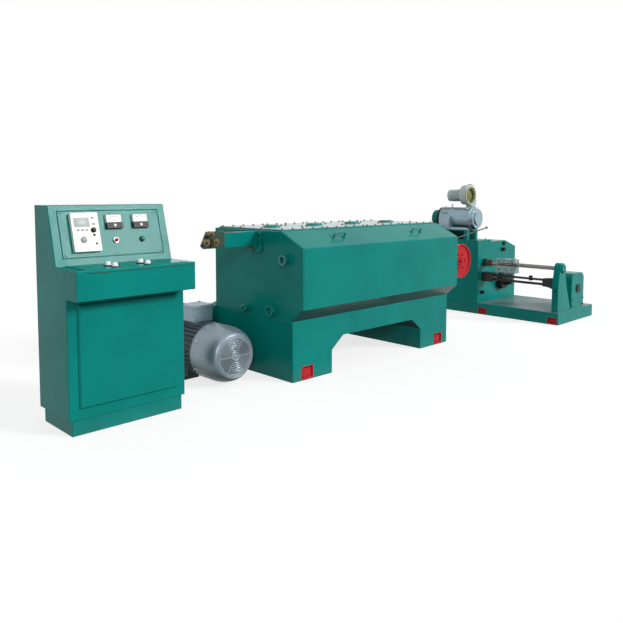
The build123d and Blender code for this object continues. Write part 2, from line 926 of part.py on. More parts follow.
with BuildPart() as pipe_unions:
    for y, z, bore in union_places:
        end_wall = side_view(main_left, main_front + y, z)
        with BuildSketch(end_wall):
            Circle(bore + union_wall)
        extrude(amount=-union_length)
        with BuildSketch(end_wall.offset(-union_length)):
            Circle(bore + union_wall + union_collar / 2)
        extrude(amount=union_collar_length)
        with BuildSketch(end_wall.offset(-union_length)):
            Circle(bore)
        extrude(amount=union_length - union_collar_length, mode=Mode.SUBTRACT)

# Finishing capstan on its own bearing housing outside the chamber's right end
capstan_x = main_right + capstan_offset
housing_y = capstan_y + capstan_width + capstan_running_gap

with BuildPart() as capstan_housing:
    with BuildSketch(front_view(main_right, housing_y, capstan_height)):
        with Locations((capstan_offset, 0)):
            Circle(capstan_housing_wall)
        Rectangle(capstan_offset, 2 * capstan_housing_wall, align=(Align.MIN, Align.CENTER))
    extrude(amount=-capstan_housing_depth)
    with BuildSketch(front_view(capstan_x, housing_y, capstan_height)):
        Circle(capstan_shaft_radius + capstan_shaft_clearance)
    extrude(amount=-(capstan_shaft_reach + capstan_running_gap), mode=Mode.SUBTRACT)

with BuildPart() as finishing_capstan:
    rim_floor = capstan_radius - capstan_groove
    add(
        turned(
            capstan_x,
            capstan_y,
            capstan_height,
            [
                (capstan_dish, 0),
                (capstan_dish - capstan_groove, capstan_nose_radius),
                (capstan_dish - capstan_groove, capstan_hub_radius),
                (capstan_dish, capstan_hub_radius),
                (capstan_dish, capstan_radius - capstan_rim),
                (0, capstan_radius - capstan_rim + capstan_groove),
                (0, capstan_radius),
                (capstan_groove, capstan_radius),
                (2 * capstan_groove, rim_floor),
                (capstan_width - 2 * capstan_groove, rim_floor),
                (capstan_width - capstan_groove, capstan_radius),
                (capstan_width, capstan_radius),
                (capstan_width, capstan_shaft_radius),
                (capstan_width + capstan_running_gap + capstan_shaft_reach, capstan_shaft_radius),
                (capstan_width + capstan_running_gap + capstan_shaft_reach, 0),
            ],
        )
    )

# Belt guards: each wraps the two pulleys of a belt drive
with BuildPart() as main_belt_guard:
    with BuildSketch(front_view(main_left, main_back)):
        with Locations((-motor_offset, motor_height)):
            Circle(motor_guard_radius)
        with Locations((main_input_offset, main_input_height)):
            Circle(main_guard_radius)
        make_hull()
    extrude(amount=-belt_guard_depth)
    chamfer(main_belt_guard.faces().sort_by(Axis.Y)[-1].edges(), length=guard_edge)
    with BuildSketch(front_view(motor_x, main_back, motor_height)):
        Circle(motor_shaft_radius + shaft_end_gap)
    extrude(amount=-(motor_shaft_length + shaft_end_gap), mode=Mode.SUBTRACT)

# Take-up bed and cabinet
spindle_x = takeup_left + spindle_offset
drive_x = takeup_left + drive_motor_offset
drive_y = takeup_face + drive_motor_setback
drive_end = drive_y + drive_motor_length

with BuildPart() as takeup_bed:
    with BuildSketch(Plane((takeup_mid, takeup_front, 0))):
        Rectangle(takeup_width, takeup_bed_length, align=(Align.CENTER, Align.MIN))
    extrude(amount=takeup_bed_height)
    bed_rim = takeup_bed.faces().sort_by(Axis.Z)[-1].edges().sort_by(Axis.Y)[:-1]
    bed_corners = takeup_bed.edges().filter_by(Axis.Z).group_by(Axis.Y)[0]
    fillet(bed_rim + bed_corners, radius=takeup_bed_edge)
    add(pocket_blocks(takeup_pockets, takeup_anchor_width, takeup_anchor_height), mode=Mode.SUBTRACT)

with BuildPart() as takeup_anchor_boxes:
    add(anchor_boxes(takeup_pockets, takeup_anchor_width, takeup_anchor_height))

with BuildPart() as takeup_cabinet:
    with BuildSketch(front_view(takeup_left, takeup_face)):
        with BuildLine():
            Polyline(
                (0, 0),
                (0, takeup_cabinet_height),
                (takeup_width - cabinet_chamfer_x, takeup_cabinet_height),
                (takeup_width, takeup_cabinet_height - cabinet_chamfer_z),
                (takeup_width, 0),
                close=True,
            )
        make_face()
    extrude(amount=-takeup_cabinet_depth)
    cabinet_edges = takeup_cabinet.edges().group_by(Axis.Z)[1:]
    fillet([edge for level in cabinet_edges for edge in level], radius=casting_edge)
    with BuildSketch(front_view(spindle_x, takeup_face, spindle_height)):
        Circle(spindle_shaft_radius + spindle_clearance)
    extrude(amount=-(spindle_shaft_reach + spindle_gap), mode=Mode.SUBTRACT)

with BuildPart() as spindle_bearing_cap:
    with BuildSketch(front_view(spindle_x, takeup_face, spindle_height)):
        Circle(spindle_cap_radius)
        Circle(spindle_shaft_radius + spindle_clearance, mode=Mode.SUBTRACT)
    extrude(amount=spindle_cap_thickness)

# Bobbin spindle: flange, driving dog and centring cone
flange_y = takeup_face - spindle_cap_thickness - spindle_gap - spindle_flange_thickness

with BuildPart() as drive_spindle:
    add(
        turned(
            spindle_x,
            flange_y,
            spindle_height,
            [
                (-spindle_cone_length, 0),
                (-spindle_cone_length, spindle_cone_tip),
                (0, spindle_cone_base),
                (0, spindle_flange_radius),
                (spindle_flange_thickness, spindle_flange_radius),
                (spindle_flange_thickness, spindle_shaft_radius),
                (takeup_face + spindle_shaft_reach - flange_y, spindle_shaft_radius),
                (takeup_face + spindle_shaft_reach - flange_y, 0),
            ],
        )
    )
    with BuildSketch(front_view(spindle_x, flange_y, spindle_height)):
        with Locations((drive_dog_circle, 0)):
            Circle(drive_dog_radius)
    extrude(amount=drive_dog_length)

with BuildPart() as tailstock_housing:
    tailstock_front = takeup_front + tailstock_setback
    with BuildSketch(front_view(spindle_x, tailstock_front, takeup_bed_height)) as headstock:
        Rectangle(tailstock_width, tailstock_height - takeup_bed_height, align=(Align.CENTER, Align.MIN))
        fillet(headstock.vertices().group_by(Axis.Y)[-1], radius=tailstock_round)
    extrude(amount=-tailstock_depth)
    front_rim = tailstock_housing.faces().sort_by(Axis.Y)[0].edges().group_by(Axis.Z)[1:]
    chamfer(front_rim, length=takeup_bed_edge)
    with BuildSketch(front_view(spindle_x, tailstock_front, spindle_height)):
        Circle(tail_quill_radius + tail_quill_clearance)
    extrude(amount=-tailstock_depth, mode=Mode.SUBTRACT)

with BuildPart() as tail_center:
    add(
        turned(
            spindle_x,
            tailstock_front + tailstock_depth,
            spindle_height,
            [
                (-tailstock_depth - tail_plug_length, 0),
                (-tailstock_depth - tail_plug_length, tail_quill_radius),
                (tail_quill_length, tail_quill_radius),
                (tail_quill_length, spindle_cone_base),
                (tail_quill_length + spindle_cone_length, spindle_cone_tip),
                (tail_quill_length + spindle_cone_length, 0),
            ],
        )
    )

# Traverse: bracket, guide shaft, screw and trip rod, carriage
traverse_x = takeup_left + traverse_offset
bracket_y = takeup_front + traverse_bracket_setback
bracket_back = bracket_y + traverse_bracket_thickness
bracket_waist = traverse_shaft_height - traverse_bracket_waist
bracket_toe = spindle_x - tailstock_width / 2 - traverse_bracket_gap - traverse_x
rod_start = bracket_back + traverse_bearing_length
rod_end = takeup_face - traverse_gearbox_length
rod_middle = sum(traverse_rod_heights) / len(traverse_rod_heights)
carriage_back = takeup_face - carriage_start

with BuildPart() as traverse_bracket:
    with BuildSketch(front_view(traverse_x, bracket_y)):
        with BuildLine():
            Polyline(
                (-traverse_bracket_left, takeup_bed_height),
                (bracket_toe, takeup_bed_height),
                (traverse_bracket_crown + traverse_bracket_flare, bracket_waist),
                (traverse_bracket_crown, traverse_shaft_height),
                (-traverse_bracket_crown, traverse_shaft_height),
                (-traverse_bracket_left, bracket_waist),
                close=True,
            )
        make_face()
        with Locations((0, traverse_shaft_height)):
            Circle(traverse_bracket_crown)
    extrude(amount=-traverse_bracket_thickness)
    with BuildSketch(front_view(traverse_x, bracket_y, traverse_shaft_height)):
        Circle(traverse_cap_radius)
    extrude(amount=traverse_cap_thickness)

with BuildPart() as traverse_shaft:
    with BuildSketch(front_view(traverse_x, takeup_face, traverse_shaft_height)):
        Circle(traverse_shaft_radius)
    extrude(amount=takeup_face - bracket_back)
    with BuildSketch(front_view(traverse_x, takeup_face, traverse_shaft_height)):
        Circle(traverse_boss_radius)
    extrude(amount=traverse_boss_length)

with BuildPart() as traverse_rods:
    with BuildSketch(front_view(traverse_x, rod_end)):
        with Locations(*[(0, z) for z in traverse_rod_heights]):
            Circle(traverse_rod_radius)
    extrude(amount=rod_end - rod_start)
    dog_bottom = traverse_rod_heights[0] - stop_dog_depth
    with BuildSketch(front_view(traverse_x, takeup_front + stop_dog_place, dog_bottom)):
        Rectangle(stop_dog_length, stop_dog_depth + stop_dog_rise, align=(Align.CENTER, Align.MIN))
    extrude(amount=-stop_dog_width)

with BuildPart() as traverse_bearing:
    with BuildSketch(front_view(traverse_x, bracket_back, rod_middle)):
        Rectangle(traverse_bearing_width, traverse_bearing_height)
    with BuildSketch(front_view(traverse_x, rod_start, rod_middle)):
        Rectangle(
            traverse_bearing_width - traverse_bearing_taper,
            traverse_bearing_height - traverse_bearing_taper,
        )
    loft()

with BuildPart() as traverse_gearbox:
    with BuildSketch(front_view(traverse_x, takeup_face, rod_middle)):
        RectangleRounded(traverse_gearbox_width, traverse_gearbox_height, radius=3 * sheet_edge)
    extrude(amount=traverse_gearbox_length)

with BuildPart() as traverse_carriage:
    carriage_middle = traverse_shaft_height - carriage_drop
    with BuildSketch(front_view(traverse_x, carriage_back, carriage_middle)):
        RectangleRounded(carriage_width, carriage_height, radius=2 * sheet_edge)
    extrude(amount=carriage_length)
    with BuildSketch(front_view(traverse_x, carriage_back, traverse_shaft_height)):
        Rectangle(carriage_width / 2, carriage_slot, align=(Align.MAX, Align.CENTER))
    extrude(amount=carriage_length, mode=Mode.SUBTRACT)
    arm_middle = carriage_back - carriage_length / 2
    with BuildSketch(side_view(traverse_x + carriage_width / 2, arm_middle, carriage_middle)):
        Rectangle(carriage_arm_width, carriage_height, align=(Align.CENTER, Align.CENTER))
        with Locations((0, -carriage_height / 2)):
            Rectangle(carriage_arm_width, carriage_arm_drop, align=(Align.CENTER, Align.MAX))
    extrude(amount=carriage_arm_thickness)
    with BuildSketch(front_view(traverse_x, carriage_back, traverse_shaft_height)):
        Circle(traverse_shaft_radius + carriage_clearance)
    extrude(amount=carriage_length, mode=Mode.SUBTRACT)

with BuildPart() as traverse_stops:
    with BuildSketch(front_view(traverse_x, carriage_back + stop_collar_gap, traverse_shaft_height)):
        Circle(stop_collar_radius)
        Circle(traverse_shaft_radius + carriage_clearance, mode=Mode.SUBTRACT)
    extrude(amount=-stop_collar_width)

# Take-up drive motor on a raised stand, with its belt guard behind the cabinet
blower_y = drive_y + blower_setback
volute_reach = volute_radius + 3 * volute_growth
stand_inset = drive_motor_shield + stand_clear
stand_length = drive_motor_length - 2 * stand_inset

with BuildPart() as takeup_motor_stand:
    stand_middle = drive_y + drive_motor_length / 2
    base_middle = drive_x + (stand_base_right - stand_base_left) / 2
    with BuildSketch(Plane((base_middle, takeup_face + stand_base_setback, takeup_cabinet_height))):
        Rectangle(stand_base_left + stand_base_right, stand_base_length, align=(Align.CENTER, Align.MIN))
    extrude(amount=stand_base)
    with BuildSketch(Plane((drive_x, stand_middle, takeup_cabinet_height + stand_height))):
        Rectangle(stand_width, stand_length)
    extrude(amount=-stand_plate)
    with BuildSketch(Plane((drive_x, stand_middle, takeup_cabinet_height))):
        with GridLocations(stand_width - stand_leg, stand_length - stand_leg, 2, 2):
            Rectangle(stand_leg, stand_leg)
    extrude(amount=stand_height)
    lever_foot = Vector(drive_x - lever_side, drive_y + lever_setback, takeup_cabinet_height + stand_base)
    lever_plane = Plane(lever_foot, x_dir=(1, 0, 0), z_dir=(0, -1, 0)).rotated((-lever_angle, 0, 0))
    with BuildSketch(lever_plane):
        Circle(lever_radius)
    extrude(amount=lever_length)
    with Locations(lever_plane.offset(lever_length).location):
        Sphere(lever_knob_radius)

with BuildPart() as takeup_motor:
    shield_start = drive_motor_length - drive_motor_shield
    ring_start = drive_motor_shield - drive_motor_ring_width
    ring_radius = drive_motor_radius + drive_motor_ring_rise
    add(
        turned(
            drive_x,
            drive_y,
            drive_motor_height,
            [
                (-drive_motor_nose_length, 0),
                (-drive_motor_nose_length, drive_motor_nose_radius),
                (0, drive_motor_nose_radius),
                (0, drive_motor_shield_radius),
                (ring_start, drive_motor_radius),
                (ring_start, ring_radius),
                (drive_motor_shield, ring_radius),
                (drive_motor_shield, drive_motor_radius),
                (shield_start, drive_motor_radius),
                (shield_start, ring_radius),
                (drive_motor_length - ring_start, ring_radius),
                (drive_motor_length - ring_start, drive_motor_radius),
                (drive_motor_length, drive_motor_shield_radius),
                (drive_motor_length, drive_motor_shaft_radius),
                (drive_motor_length + drive_motor_shaft_length, drive_motor_shaft_radius),
                (drive_motor_length + drive_motor_shaft_length, 0),
            ],
        )
    )
    with BuildSketch(front_view(drive_x, drive_y + stand_inset, drive_motor_height)):
        with Locations((0, -drive_motor_radius)):
            Rectangle(
                drive_motor_foot_width, drive_motor_foot_height, align=(Align.CENTER, Align.MIN)
            )
    extrude(amount=-stand_length)
    with BuildSketch(Plane((drive_x + volute_reach, blower_y, drive_motor_height))):
        Rectangle(blower_neck_width, blower_width, align=(Align.MAX, Align.MIN))
    extrude(amount=drive_motor_radius + blower_flange)

with BuildPart() as takeup_terminal_box:
    box_start = drive_y + drive_box_setback
    box_seat = drive_motor_height - drive_motor_radius + drive_motor_foot_height
    with BuildSketch(Plane((drive_x, box_start, box_seat))):
        Rectangle(
            drive_motor_radius + drive_box_width, drive_box_length, align=(Align.MAX, Align.MIN)
        )
    extrude(amount=drive_box_height)
    add(takeup_motor.part, mode=Mode.SUBTRACT)

# Blower: a volute over the motor's front end, blowing down into it
neck_bottom = drive_motor_height + drive_motor_radius + blower_flange - blower_height

with BuildPart() as blower_casing:
    with BuildSketch(front_view(drive_x, blower_y, blower_height)):
        with BuildLine():
            CenterArc((0, 0), volute_reach, 0, 90)
            CenterArc((0, volute_growth), volute_reach - volute_growth, 90, 90)
            CenterArc((-volute_growth, volute_growth), volute_radius + volute_growth, 180, 90)
            Polyline((-volute_growth, -volute_radius), (0, 0), (volute_reach, 0))
        make_face()
        with Locations((-volute_growth, 0)):
            Circle(volute_radius)
        with Locations((volute_reach, neck_bottom)):
            Rectangle(blower_neck_width, -neck_bottom, align=(Align.MAX, Align.MIN))
    extrude(amount=-blower_width)
    with BuildSketch(front_view(drive_x, blower_y, blower_height)):
        Circle(blower_ring_radius)
    extrude(amount=blower_ring_length)
    with BuildSketch(front_view(drive_x, blower_y - blower_ring_length, blower_height)):
        Circle(blower_eye_radius)
    extrude(amount=-blower_eye_depth, mode=Mode.SUBTRACT)

with BuildPart() as blower_motor:
    add(
        turned(
            drive_x,
            blower_y + blower_width,
            blower_height,
            [
                (0, 0),
                (0, blower_motor_neck_radius),
                (blower_motor_neck_length, blower_motor_neck_radius),
                (blower_motor_neck_length, blower_motor_radius),
                (blower_motor_neck_length + blower_motor_length, blower_motor_radius),
                (blower_motor_neck_length + blower_motor_length, 0),
            ],
        )
    )

with BuildPart() as takeup_belt_guard:
    with BuildSketch(front_view(0, takeup_back)):
        with Locations((drive_x, drive_motor_height)):
            Circle(drive_guard_radius)
        with Locations((spindle_x, spindle_height)):
            Circle(spindle_guard_radius)
        make_hull()
    extrude(amount=-belt_guard_depth)
    chamfer(takeup_belt_guard.faces().sort_by(Axis.Y)[-1].edges(), length=guard_edge)
    with BuildSketch(front_view(drive_x, takeup_back, drive_motor_height)):
        Circle(drive_motor_shaft_radius + shaft_end_gap)
    shaft_room = drive_end + drive_motor_shaft_length + shaft_end_gap - takeup_back
    extrude(amount=-shaft_room, mode=Mode.SUBTRACT)

pieces = {
    "console_plinth": console_plinth,
    "console_cabinet": console_cabinet,
    "console_front_panel": console_front_panel,
    "console_desk": console_desk,
    "desk_button_plate": desk_button_plate,
    "desk_buttons": desk_buttons,
    "instrument_panel": instrument_panel,
    "drive_controller": drive_controller,
    "meter_faces": meter_faces,
    "meter_bezels": meter_bezels,
    "stop_lamp": stop_lamp,
    "run_lamp": run_lamp,
    "motor_frame": motor_frame,
    "motor_fan_cowl": motor_fan_cowl,
    "motor_terminal_box": motor_terminal_box,
    "main_bed": main_bed,
    "main_anchor_boxes": main_anchor_boxes,
    "gearbox_housing": gearbox_housing,
    "drawing_chamber": drawing_chamber,
    "front_cover": front_cover,
    "top_lids": top_lids,
    "lift_handles": lift_handles,
    "inlet_bracket": inlet_bracket,
    "inlet_roller_plate": inlet_roller_plate,
    "inlet_roller_middle": inlet_roller_middle,
    "inlet_roller_inner": inlet_roller_inner,
    "inlet_roller_outer": inlet_roller_outer,
    "pipe_unions": pipe_unions,
    "capstan_housing": capstan_housing,
    "finishing_capstan": finishing_capstan,
    "main_belt_guard": main_belt_guard,
    "takeup_bed": takeup_bed,
    "takeup_anchor_boxes": takeup_anchor_boxes,
    "takeup_cabinet": takeup_cabinet,
    "spindle_bearing_cap": spindle_bearing_cap,
    "drive_spindle": drive_spindle,
    "tailstock_housing": tailstock_housing,
    "tail_center": tail_center,
    "traverse_bracket": traverse_bracket,
    "traverse_shaft": traverse_shaft,
    "traverse_rods": traverse_rods,
    "traverse_bearing": traverse_bearing,
    "traverse_gearbox": traverse_gearbox,
    "traverse_carriage": traverse_carriage,
    "traverse_stops": traverse_stops,
    "takeup_motor_stand": takeup_motor_stand,
    "takeup_motor": takeup_motor,
    "takeup_terminal_box": takeup_terminal_box,
    "blower_casing": blower_casing,
    "blower_motor": blower_motor,
    "takeup_belt_guard": takeup_belt_guard,
}

os.makedirs("parts", exist_ok=True)
for name, piece in pieces.items():
    piece.part.label = name
    export_step(piece.part, f"parts/{name}.step")
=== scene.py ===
# %% [markdown]
# # A wire drawing line
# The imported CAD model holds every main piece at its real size: a control console, a belt motor, a drawing
# machine on an arched bed, and a bobbin take-up. This lesson loads it, paints it, and adds what a CAD model
# leaves out: fasteners, dials, knobs, screw threads, fan blades and grilles. Nothing of the frame is moved.

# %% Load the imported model
from math import cos, pi, radians, sin

import bmesh
import bpy
from mathutils import Matrix, Vector


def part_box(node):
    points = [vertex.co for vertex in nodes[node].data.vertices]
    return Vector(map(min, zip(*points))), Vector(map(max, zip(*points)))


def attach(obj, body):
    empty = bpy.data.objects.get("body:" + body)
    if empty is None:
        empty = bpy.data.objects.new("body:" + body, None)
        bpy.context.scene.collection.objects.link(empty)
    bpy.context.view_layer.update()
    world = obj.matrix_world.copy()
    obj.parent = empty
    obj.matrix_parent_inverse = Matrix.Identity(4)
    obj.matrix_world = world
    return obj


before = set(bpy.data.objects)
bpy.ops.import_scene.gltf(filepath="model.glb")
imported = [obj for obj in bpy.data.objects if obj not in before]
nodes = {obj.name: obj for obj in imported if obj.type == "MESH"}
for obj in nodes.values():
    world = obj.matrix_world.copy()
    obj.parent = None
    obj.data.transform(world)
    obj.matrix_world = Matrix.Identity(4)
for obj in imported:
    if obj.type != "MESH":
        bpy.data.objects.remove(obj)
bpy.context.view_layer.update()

# %% [markdown]
# ## Tools for finishes
# Paint cards and screens give colours as sRGB hex values, but a shader works in linear light, so one function
# turns the first into the second. Another adds a shader node with its settings and links in one line. Sizes of
# patterns are thought of in millimetres, and a third function turns those into the scale of a noise texture.

# %% Colour, node and scale helpers
def linear(hex_colour):
    """An sRGB hex colour as linear RGBA."""
    channels = [int(hex_colour[i : i + 2], 16) / 255 for i in (1, 3, 5)]
    return [c / 12.92 if c <= 0.04045 else ((c + 0.055) / 1.055) ** 2.4 for c in channels] + [1.0]


def add_node(tree, kind, links=None, **settings):
    """Adds a node and gives its outputs: settings are its own properties, links feed its sockets."""
    node = tree.nodes.new(kind)
    for name, value in settings.items():
        setattr(node, name, value)
    for socket, source in (links or {}).items():
        if isinstance(source, bpy.types.NodeSocket):
            tree.links.new(source, node.inputs[socket])
        else:
            node.inputs[socket].default_value = source
    return node.outputs


def every(millimetres):
    """The noise scale whose spots are this many millimetres across."""
    return 1000 / millimetres


print("mid grey #808080 is", round(linear("#808080")[0], 3), "in linear light")

# %% [markdown]
# Every finish starts the same way, with a Principled shader and Object coordinates, and ends by linking what
# varies over the surface. What is the same all over is set on the shader's own sockets.

# %% Starting and ending a material
def new_material(name, sockets):
    """A material with its Principled shader's uniform sockets set, and Object coordinates ready to use."""
    material = bpy.data.materials.new(name)
    material.use_nodes = True
    tree = material.node_tree
    shader = tree.nodes["Principled BSDF"]
    for socket, value in sockets.items():
        shader.inputs[socket].default_value = value
    place = add_node(tree, "ShaderNodeTexCoord")["Object"]
    return material, tree, shader, place


def connect(tree, shader, colour, roughness, normal):
    """Links what varies over a surface to its shader."""
    for socket, source in (("Base Color", colour), ("Roughness", roughness), ("Normal", normal)):
        tree.links.new(source, shader.inputs[socket])


print("a noise of 60 mm spots has scale", round(every(60), 2))

# %% [markdown]
# ## Machine enamel
# Castings and sheet metal on such a line are filled, rubbed down and sprayed with gloss alkyd enamel. It shows
# soft drifts of colour, a faint orange peel and floor dust low down; its edges are painted paler, partly for a
# thin coat and partly as a painted highlight. One colour could be painted flat, but then the big plain sides
# look like plastic. A Bevel node rounds the edges a few millimetres in shading and, compared with the true
# normal, also tells where an edge is. Level tops that people stand on or clean wear through, so a finish can
# name what shows there, and undersides can get painted shade. Motor paint holds aluminium flake, making it
# partly metal.

# %% Enamel finish
FLOOR_DUST = "#7F8480"
EDGE_RADIUS = 0.004
DUST_HEIGHT = 0.12


def enamel(
    name, colour, deep, edge, roughness=0.23, gloss=0.1, peel=9, depth=0.0002, worn=None, underside_shade=None, flake=0.0
):
    """Sprayed enamel in two close shades with a paler edge.

    peel is the width of its orange peel in mm and depth the height in m, worn is what shows on bare tops,
    underside_shade the colour of painted shade on undersides, and flake the share of metal in the paint.
    """
    material, tree, shader, place = new_material(name, {"Specular IOR Level": gloss, "Metallic": flake})
    drift = add_node(tree, "ShaderNodeTexNoise", {"Vector": place, "Scale": every(420), "Detail": 4.0})[0]
    shade = add_node(tree, "ShaderNodeMapRange", {0: drift, 1: 0.35, 2: 0.65})[0]
    coat = add_node(tree, "ShaderNodeMix", {0: shade, 6: linear(colour), 7: linear(deep)}, data_type="RGBA")[2]

    bevel = add_node(tree, "ShaderNodeBevel", {"Radius": EDGE_RADIUS}, samples=6)[0]
    flat = add_node(tree, "ShaderNodeNewGeometry")["Normal"]
    turn = add_node(tree, "ShaderNodeVectorMath", {0: bevel, 1: flat}, operation="DOT_PRODUCT")["Value"]
    # partly thin coat, partly painted highlight: faces near an edge turn towards the paler edge colour
    edge_wear_and_highlight = add_node(tree, "ShaderNodeMapRange", {0: turn, 1: 0.995, 2: 0.86, 3: 0.0, 4: 0.4})[0]
    coat = add_node(tree, "ShaderNodeMix", {0: edge_wear_and_highlight, 6: coat, 7: linear(edge)}, data_type="RGBA")[2]

    level = add_node(tree, "ShaderNodeSeparateXYZ", {0: flat})["Z"]
    if worn:
        top = add_node(tree, "ShaderNodeMapRange", {0: level, 1: 0.85, 2: 0.95})[0]
        bare = add_node(tree, "ShaderNodeMapRange", {0: drift, 1: 0.38, 2: 0.55, 3: 0.35, 4: 1.0})[0]
        wear = add_node(tree, "ShaderNodeMath", {0: top, 1: bare}, operation="MULTIPLY")[0]
        coat = add_node(tree, "ShaderNodeMix", {0: wear, 6: coat, 7: linear(worn)}, data_type="RGBA")[2]
    # painted shade: faces that point down are darkened towards this colour
    if underside_shade:
        under = add_node(tree, "ShaderNodeMapRange", {0: level, 1: -0.02, 2: -0.6, 3: 0.0, 4: 0.9})[0]
        coat = add_node(tree, "ShaderNodeMix", {0: under, 6: coat, 7: linear(underside_shade)}, data_type="RGBA")[2]
    blotch = add_node(tree, "ShaderNodeTexNoise", {"Vector": place, "Scale": every(60), "Detail": 5.0})[0]
    height = add_node(tree, "ShaderNodeSeparateXYZ", {0: place})["Z"]
    low = add_node(tree, "ShaderNodeMapRange", {0: height, 1: DUST_HEIGHT, 2: 0.0, 3: 0.0, 4: 0.15})[0]
    dust = add_node(tree, "ShaderNodeMath", {0: low, 1: blotch}, operation="MULTIPLY")[0]
    coat = add_node(tree, "ShaderNodeMix", {0: dust, 6: coat, 7: linear(FLOOR_DUST)}, data_type="RGBA")[2]

    gloss_range = {0: blotch, 1: 0.3, 2: 0.7, 3: roughness - 0.04, 4: roughness + 0.05}
    shine = add_node(tree, "ShaderNodeMapRange", gloss_range)[0]
    # real orange peel is 1 to 3 mm wide, too fine to show from here, so it is drawn coarser
    orange = add_node(tree, "ShaderNodeTexNoise", {"Vector": place, "Scale": every(peel), "Detail": 1.0})[0]
    relief = {"Height": orange, "Strength": 0.12, "Distance": depth, "Normal": bevel}
    connect(tree, shader, coat, shine, add_node(tree, "ShaderNodeBump", relief)[0])
    return material


print("enamel recipe ready")

# %% [markdown]
# Each coat on the line differs a little. The console's is new and smooth, the lids are polished, the take-up's
# bed is scuffed to the metal, and the motors are silver, grey or blue grey.

# %% Enamels
TEAL = ("#05877E", "#047C75", "#45ABA2")
# gloss paint on castings: a deep colour with a soft sheen, with painted shade underneath
teal_enamel = enamel("teal_machine_enamel", *TEAL, underside_shade="#1C3533")
# folded sheet, sprayed smooth: a clear pale glare on faces that lean back
console_enamel = enamel("teal_console_enamel", *TEAL, roughness=0.13, gloss=0.06)
# wiped and polished lids: they mirror the white around them
lid_enamel = enamel("teal_lid_enamel", *TEAL, roughness=0.14, gloss=0.45, depth=0.00005)
# a bed that is walked on: grey bare patches on its top
bed_enamel = enamel("scuffed_bed_enamel", *TEAL, roughness=0.42, gloss=0.15, worn="#838C92")
# tops with oil baked into the paint: dull brown-grey patches
cabinet_enamel = enamel("oil_marked_enamel", *TEAL, worn="#54584E")
# paint soaked by drawing oil all over: a dark green that turns brown
oily_enamel = enamel("oil_soaked_enamel", "#2C5449", "#3C4A40", "#6E7760", roughness=0.36, gloss=0.2)
# signal red on what turns or takes a bolt
red_enamel = enamel("red_machine_enamel", "#BD2329", "#AB1E26", "#C94C49")
# aluminium-flake paint: a bright band along round sides, with painted shade below
motor_enamel = enamel(
    "silver_flake_enamel", "#909EA6", "#82919A", "#C8D0D4",
    roughness=0.36, gloss=0.4, peel=5, underside_shade="#26383A", flake=0.6,
)
# the same paint with less flake and some blue: a paler, softer band, with painted shade below
drive_enamel = enamel(
    "blue_grey_enamel", "#9BB3BD", "#8EA6B1", "#C4CED2",
    roughness=0.32, gloss=0.35, peel=5, underside_shade="#2C4B4B", flake=0.45,
)
# a darker grey for the finned frame: partly its own paint, partly painted shade between the fins
fin_enamel = enamel("shaded_fin_grey_enamel", "#76838A", "#65727A", "#98A2A8", roughness=0.45)
# thin paint on light castings: pale and satin
blower_enamel = enamel("pale_grey_enamel", "#B2C1C2", "#A5B5B6", "#CBD4D3", roughness=0.36, flake=0.3)
# sprayed on a pressed ring without flake: warm and nearly flat
cream_enamel = enamel("cream_enamel", "#C6C9B0", "#BABD9F", "#D8DAC8", roughness=0.4)
# primer without a top coat: matt
olive_enamel = enamel("olive_primer", "#86885A", "#75774C", "#A0A27C", roughness=0.55)
print("enamels ready; the teal's linear green is", round(linear(TEAL[0])[1], 3))

# %% [markdown]
# ## Bare metals
# The guide shaft is ground and the carriage is milled, so both carry fine lines along or across the part. The
# rods, gearbox and spindle are oiled cast iron, dark with brown patches. Rollers are brass, the stops bronze
# and the fasteners zinc plated. The same recipe serves them all: a metal with stretched noise for the tool
# marks and a broad one for oil, and only colours, direction and roughness differ.

# %% Metal finish
def metal(name, colour, stain, roughness, stretch=(1, 1, 1), metallic=1.0):
    """Machined or cast metal: tool marks stretched along an axis, and patches of oil or tarnish."""
    material, tree, shader, place = new_material(name, {"Metallic": metallic})
    # real tool marks are a tenth of a millimetre apart, too fine to show, so they are drawn at 2.5 mm
    along = add_node(tree, "ShaderNodeMapping", {"Vector": place, "Scale": stretch})[0]
    marks = add_node(tree, "ShaderNodeTexNoise", {"Vector": along, "Scale": every(2.5), "Detail": 2.0})[0]
    patches = add_node(tree, "ShaderNodeTexNoise", {"Vector": place, "Scale": every(45), "Detail": 5.0})[0]
    oil = add_node(tree, "ShaderNodeMapRange", {0: patches, 1: 0.45, 2: 0.7})[0]
    tint = add_node(tree, "ShaderNodeMix", {0: oil, 6: linear(colour), 7: linear(stain)}, data_type="RGBA")[2]
    rough_range = {0: marks, 1: 0.3, 2: 0.7, 3: roughness - 0.08, 4: roughness + 0.1}
    rough = add_node(tree, "ShaderNodeMapRange", rough_range)[0]
    relief = {"Height": marks, "Strength": 0.15, "Distance": 0.0003}
    connect(tree, shader, tint, rough, add_node(tree, "ShaderNodeBump", relief)[0])
    return material


# ground along its length: a long soft streak of light
ground_steel = metal("ground_steel", "#8E8A86", "#6E6862", 0.34, stretch=(1, 0.08, 1), metallic=0.7)
# milled block under a film of oil: upright lines, a bluish grey
milled_steel = metal("milled_steel", "#93ABAC", "#6D8283", 0.4, stretch=(1, 1, 0.15), metallic=0.4)
# cast or turned and never wiped: nearly black, with brown oil
oiled_iron = metal("oiled_cast_iron", "#2E3232", "#3B2E26", 0.45, metallic=0.6)
# cast bronze under oil: dark brown with little shine
bronze = metal("oiled_bronze", "#5F4636", "#3F3027", 0.42, metallic=0.6)
# turned brass under oil: a dull yellow brown
brass = metal("oiled_roller_brass", "#7F6C4A", "#46392A", 0.42, metallic=0.7)
# bright plating, dulled by fingers
zinc = metal("zinc_plated_steel", "#A9ADAB", "#8A8070", 0.35)
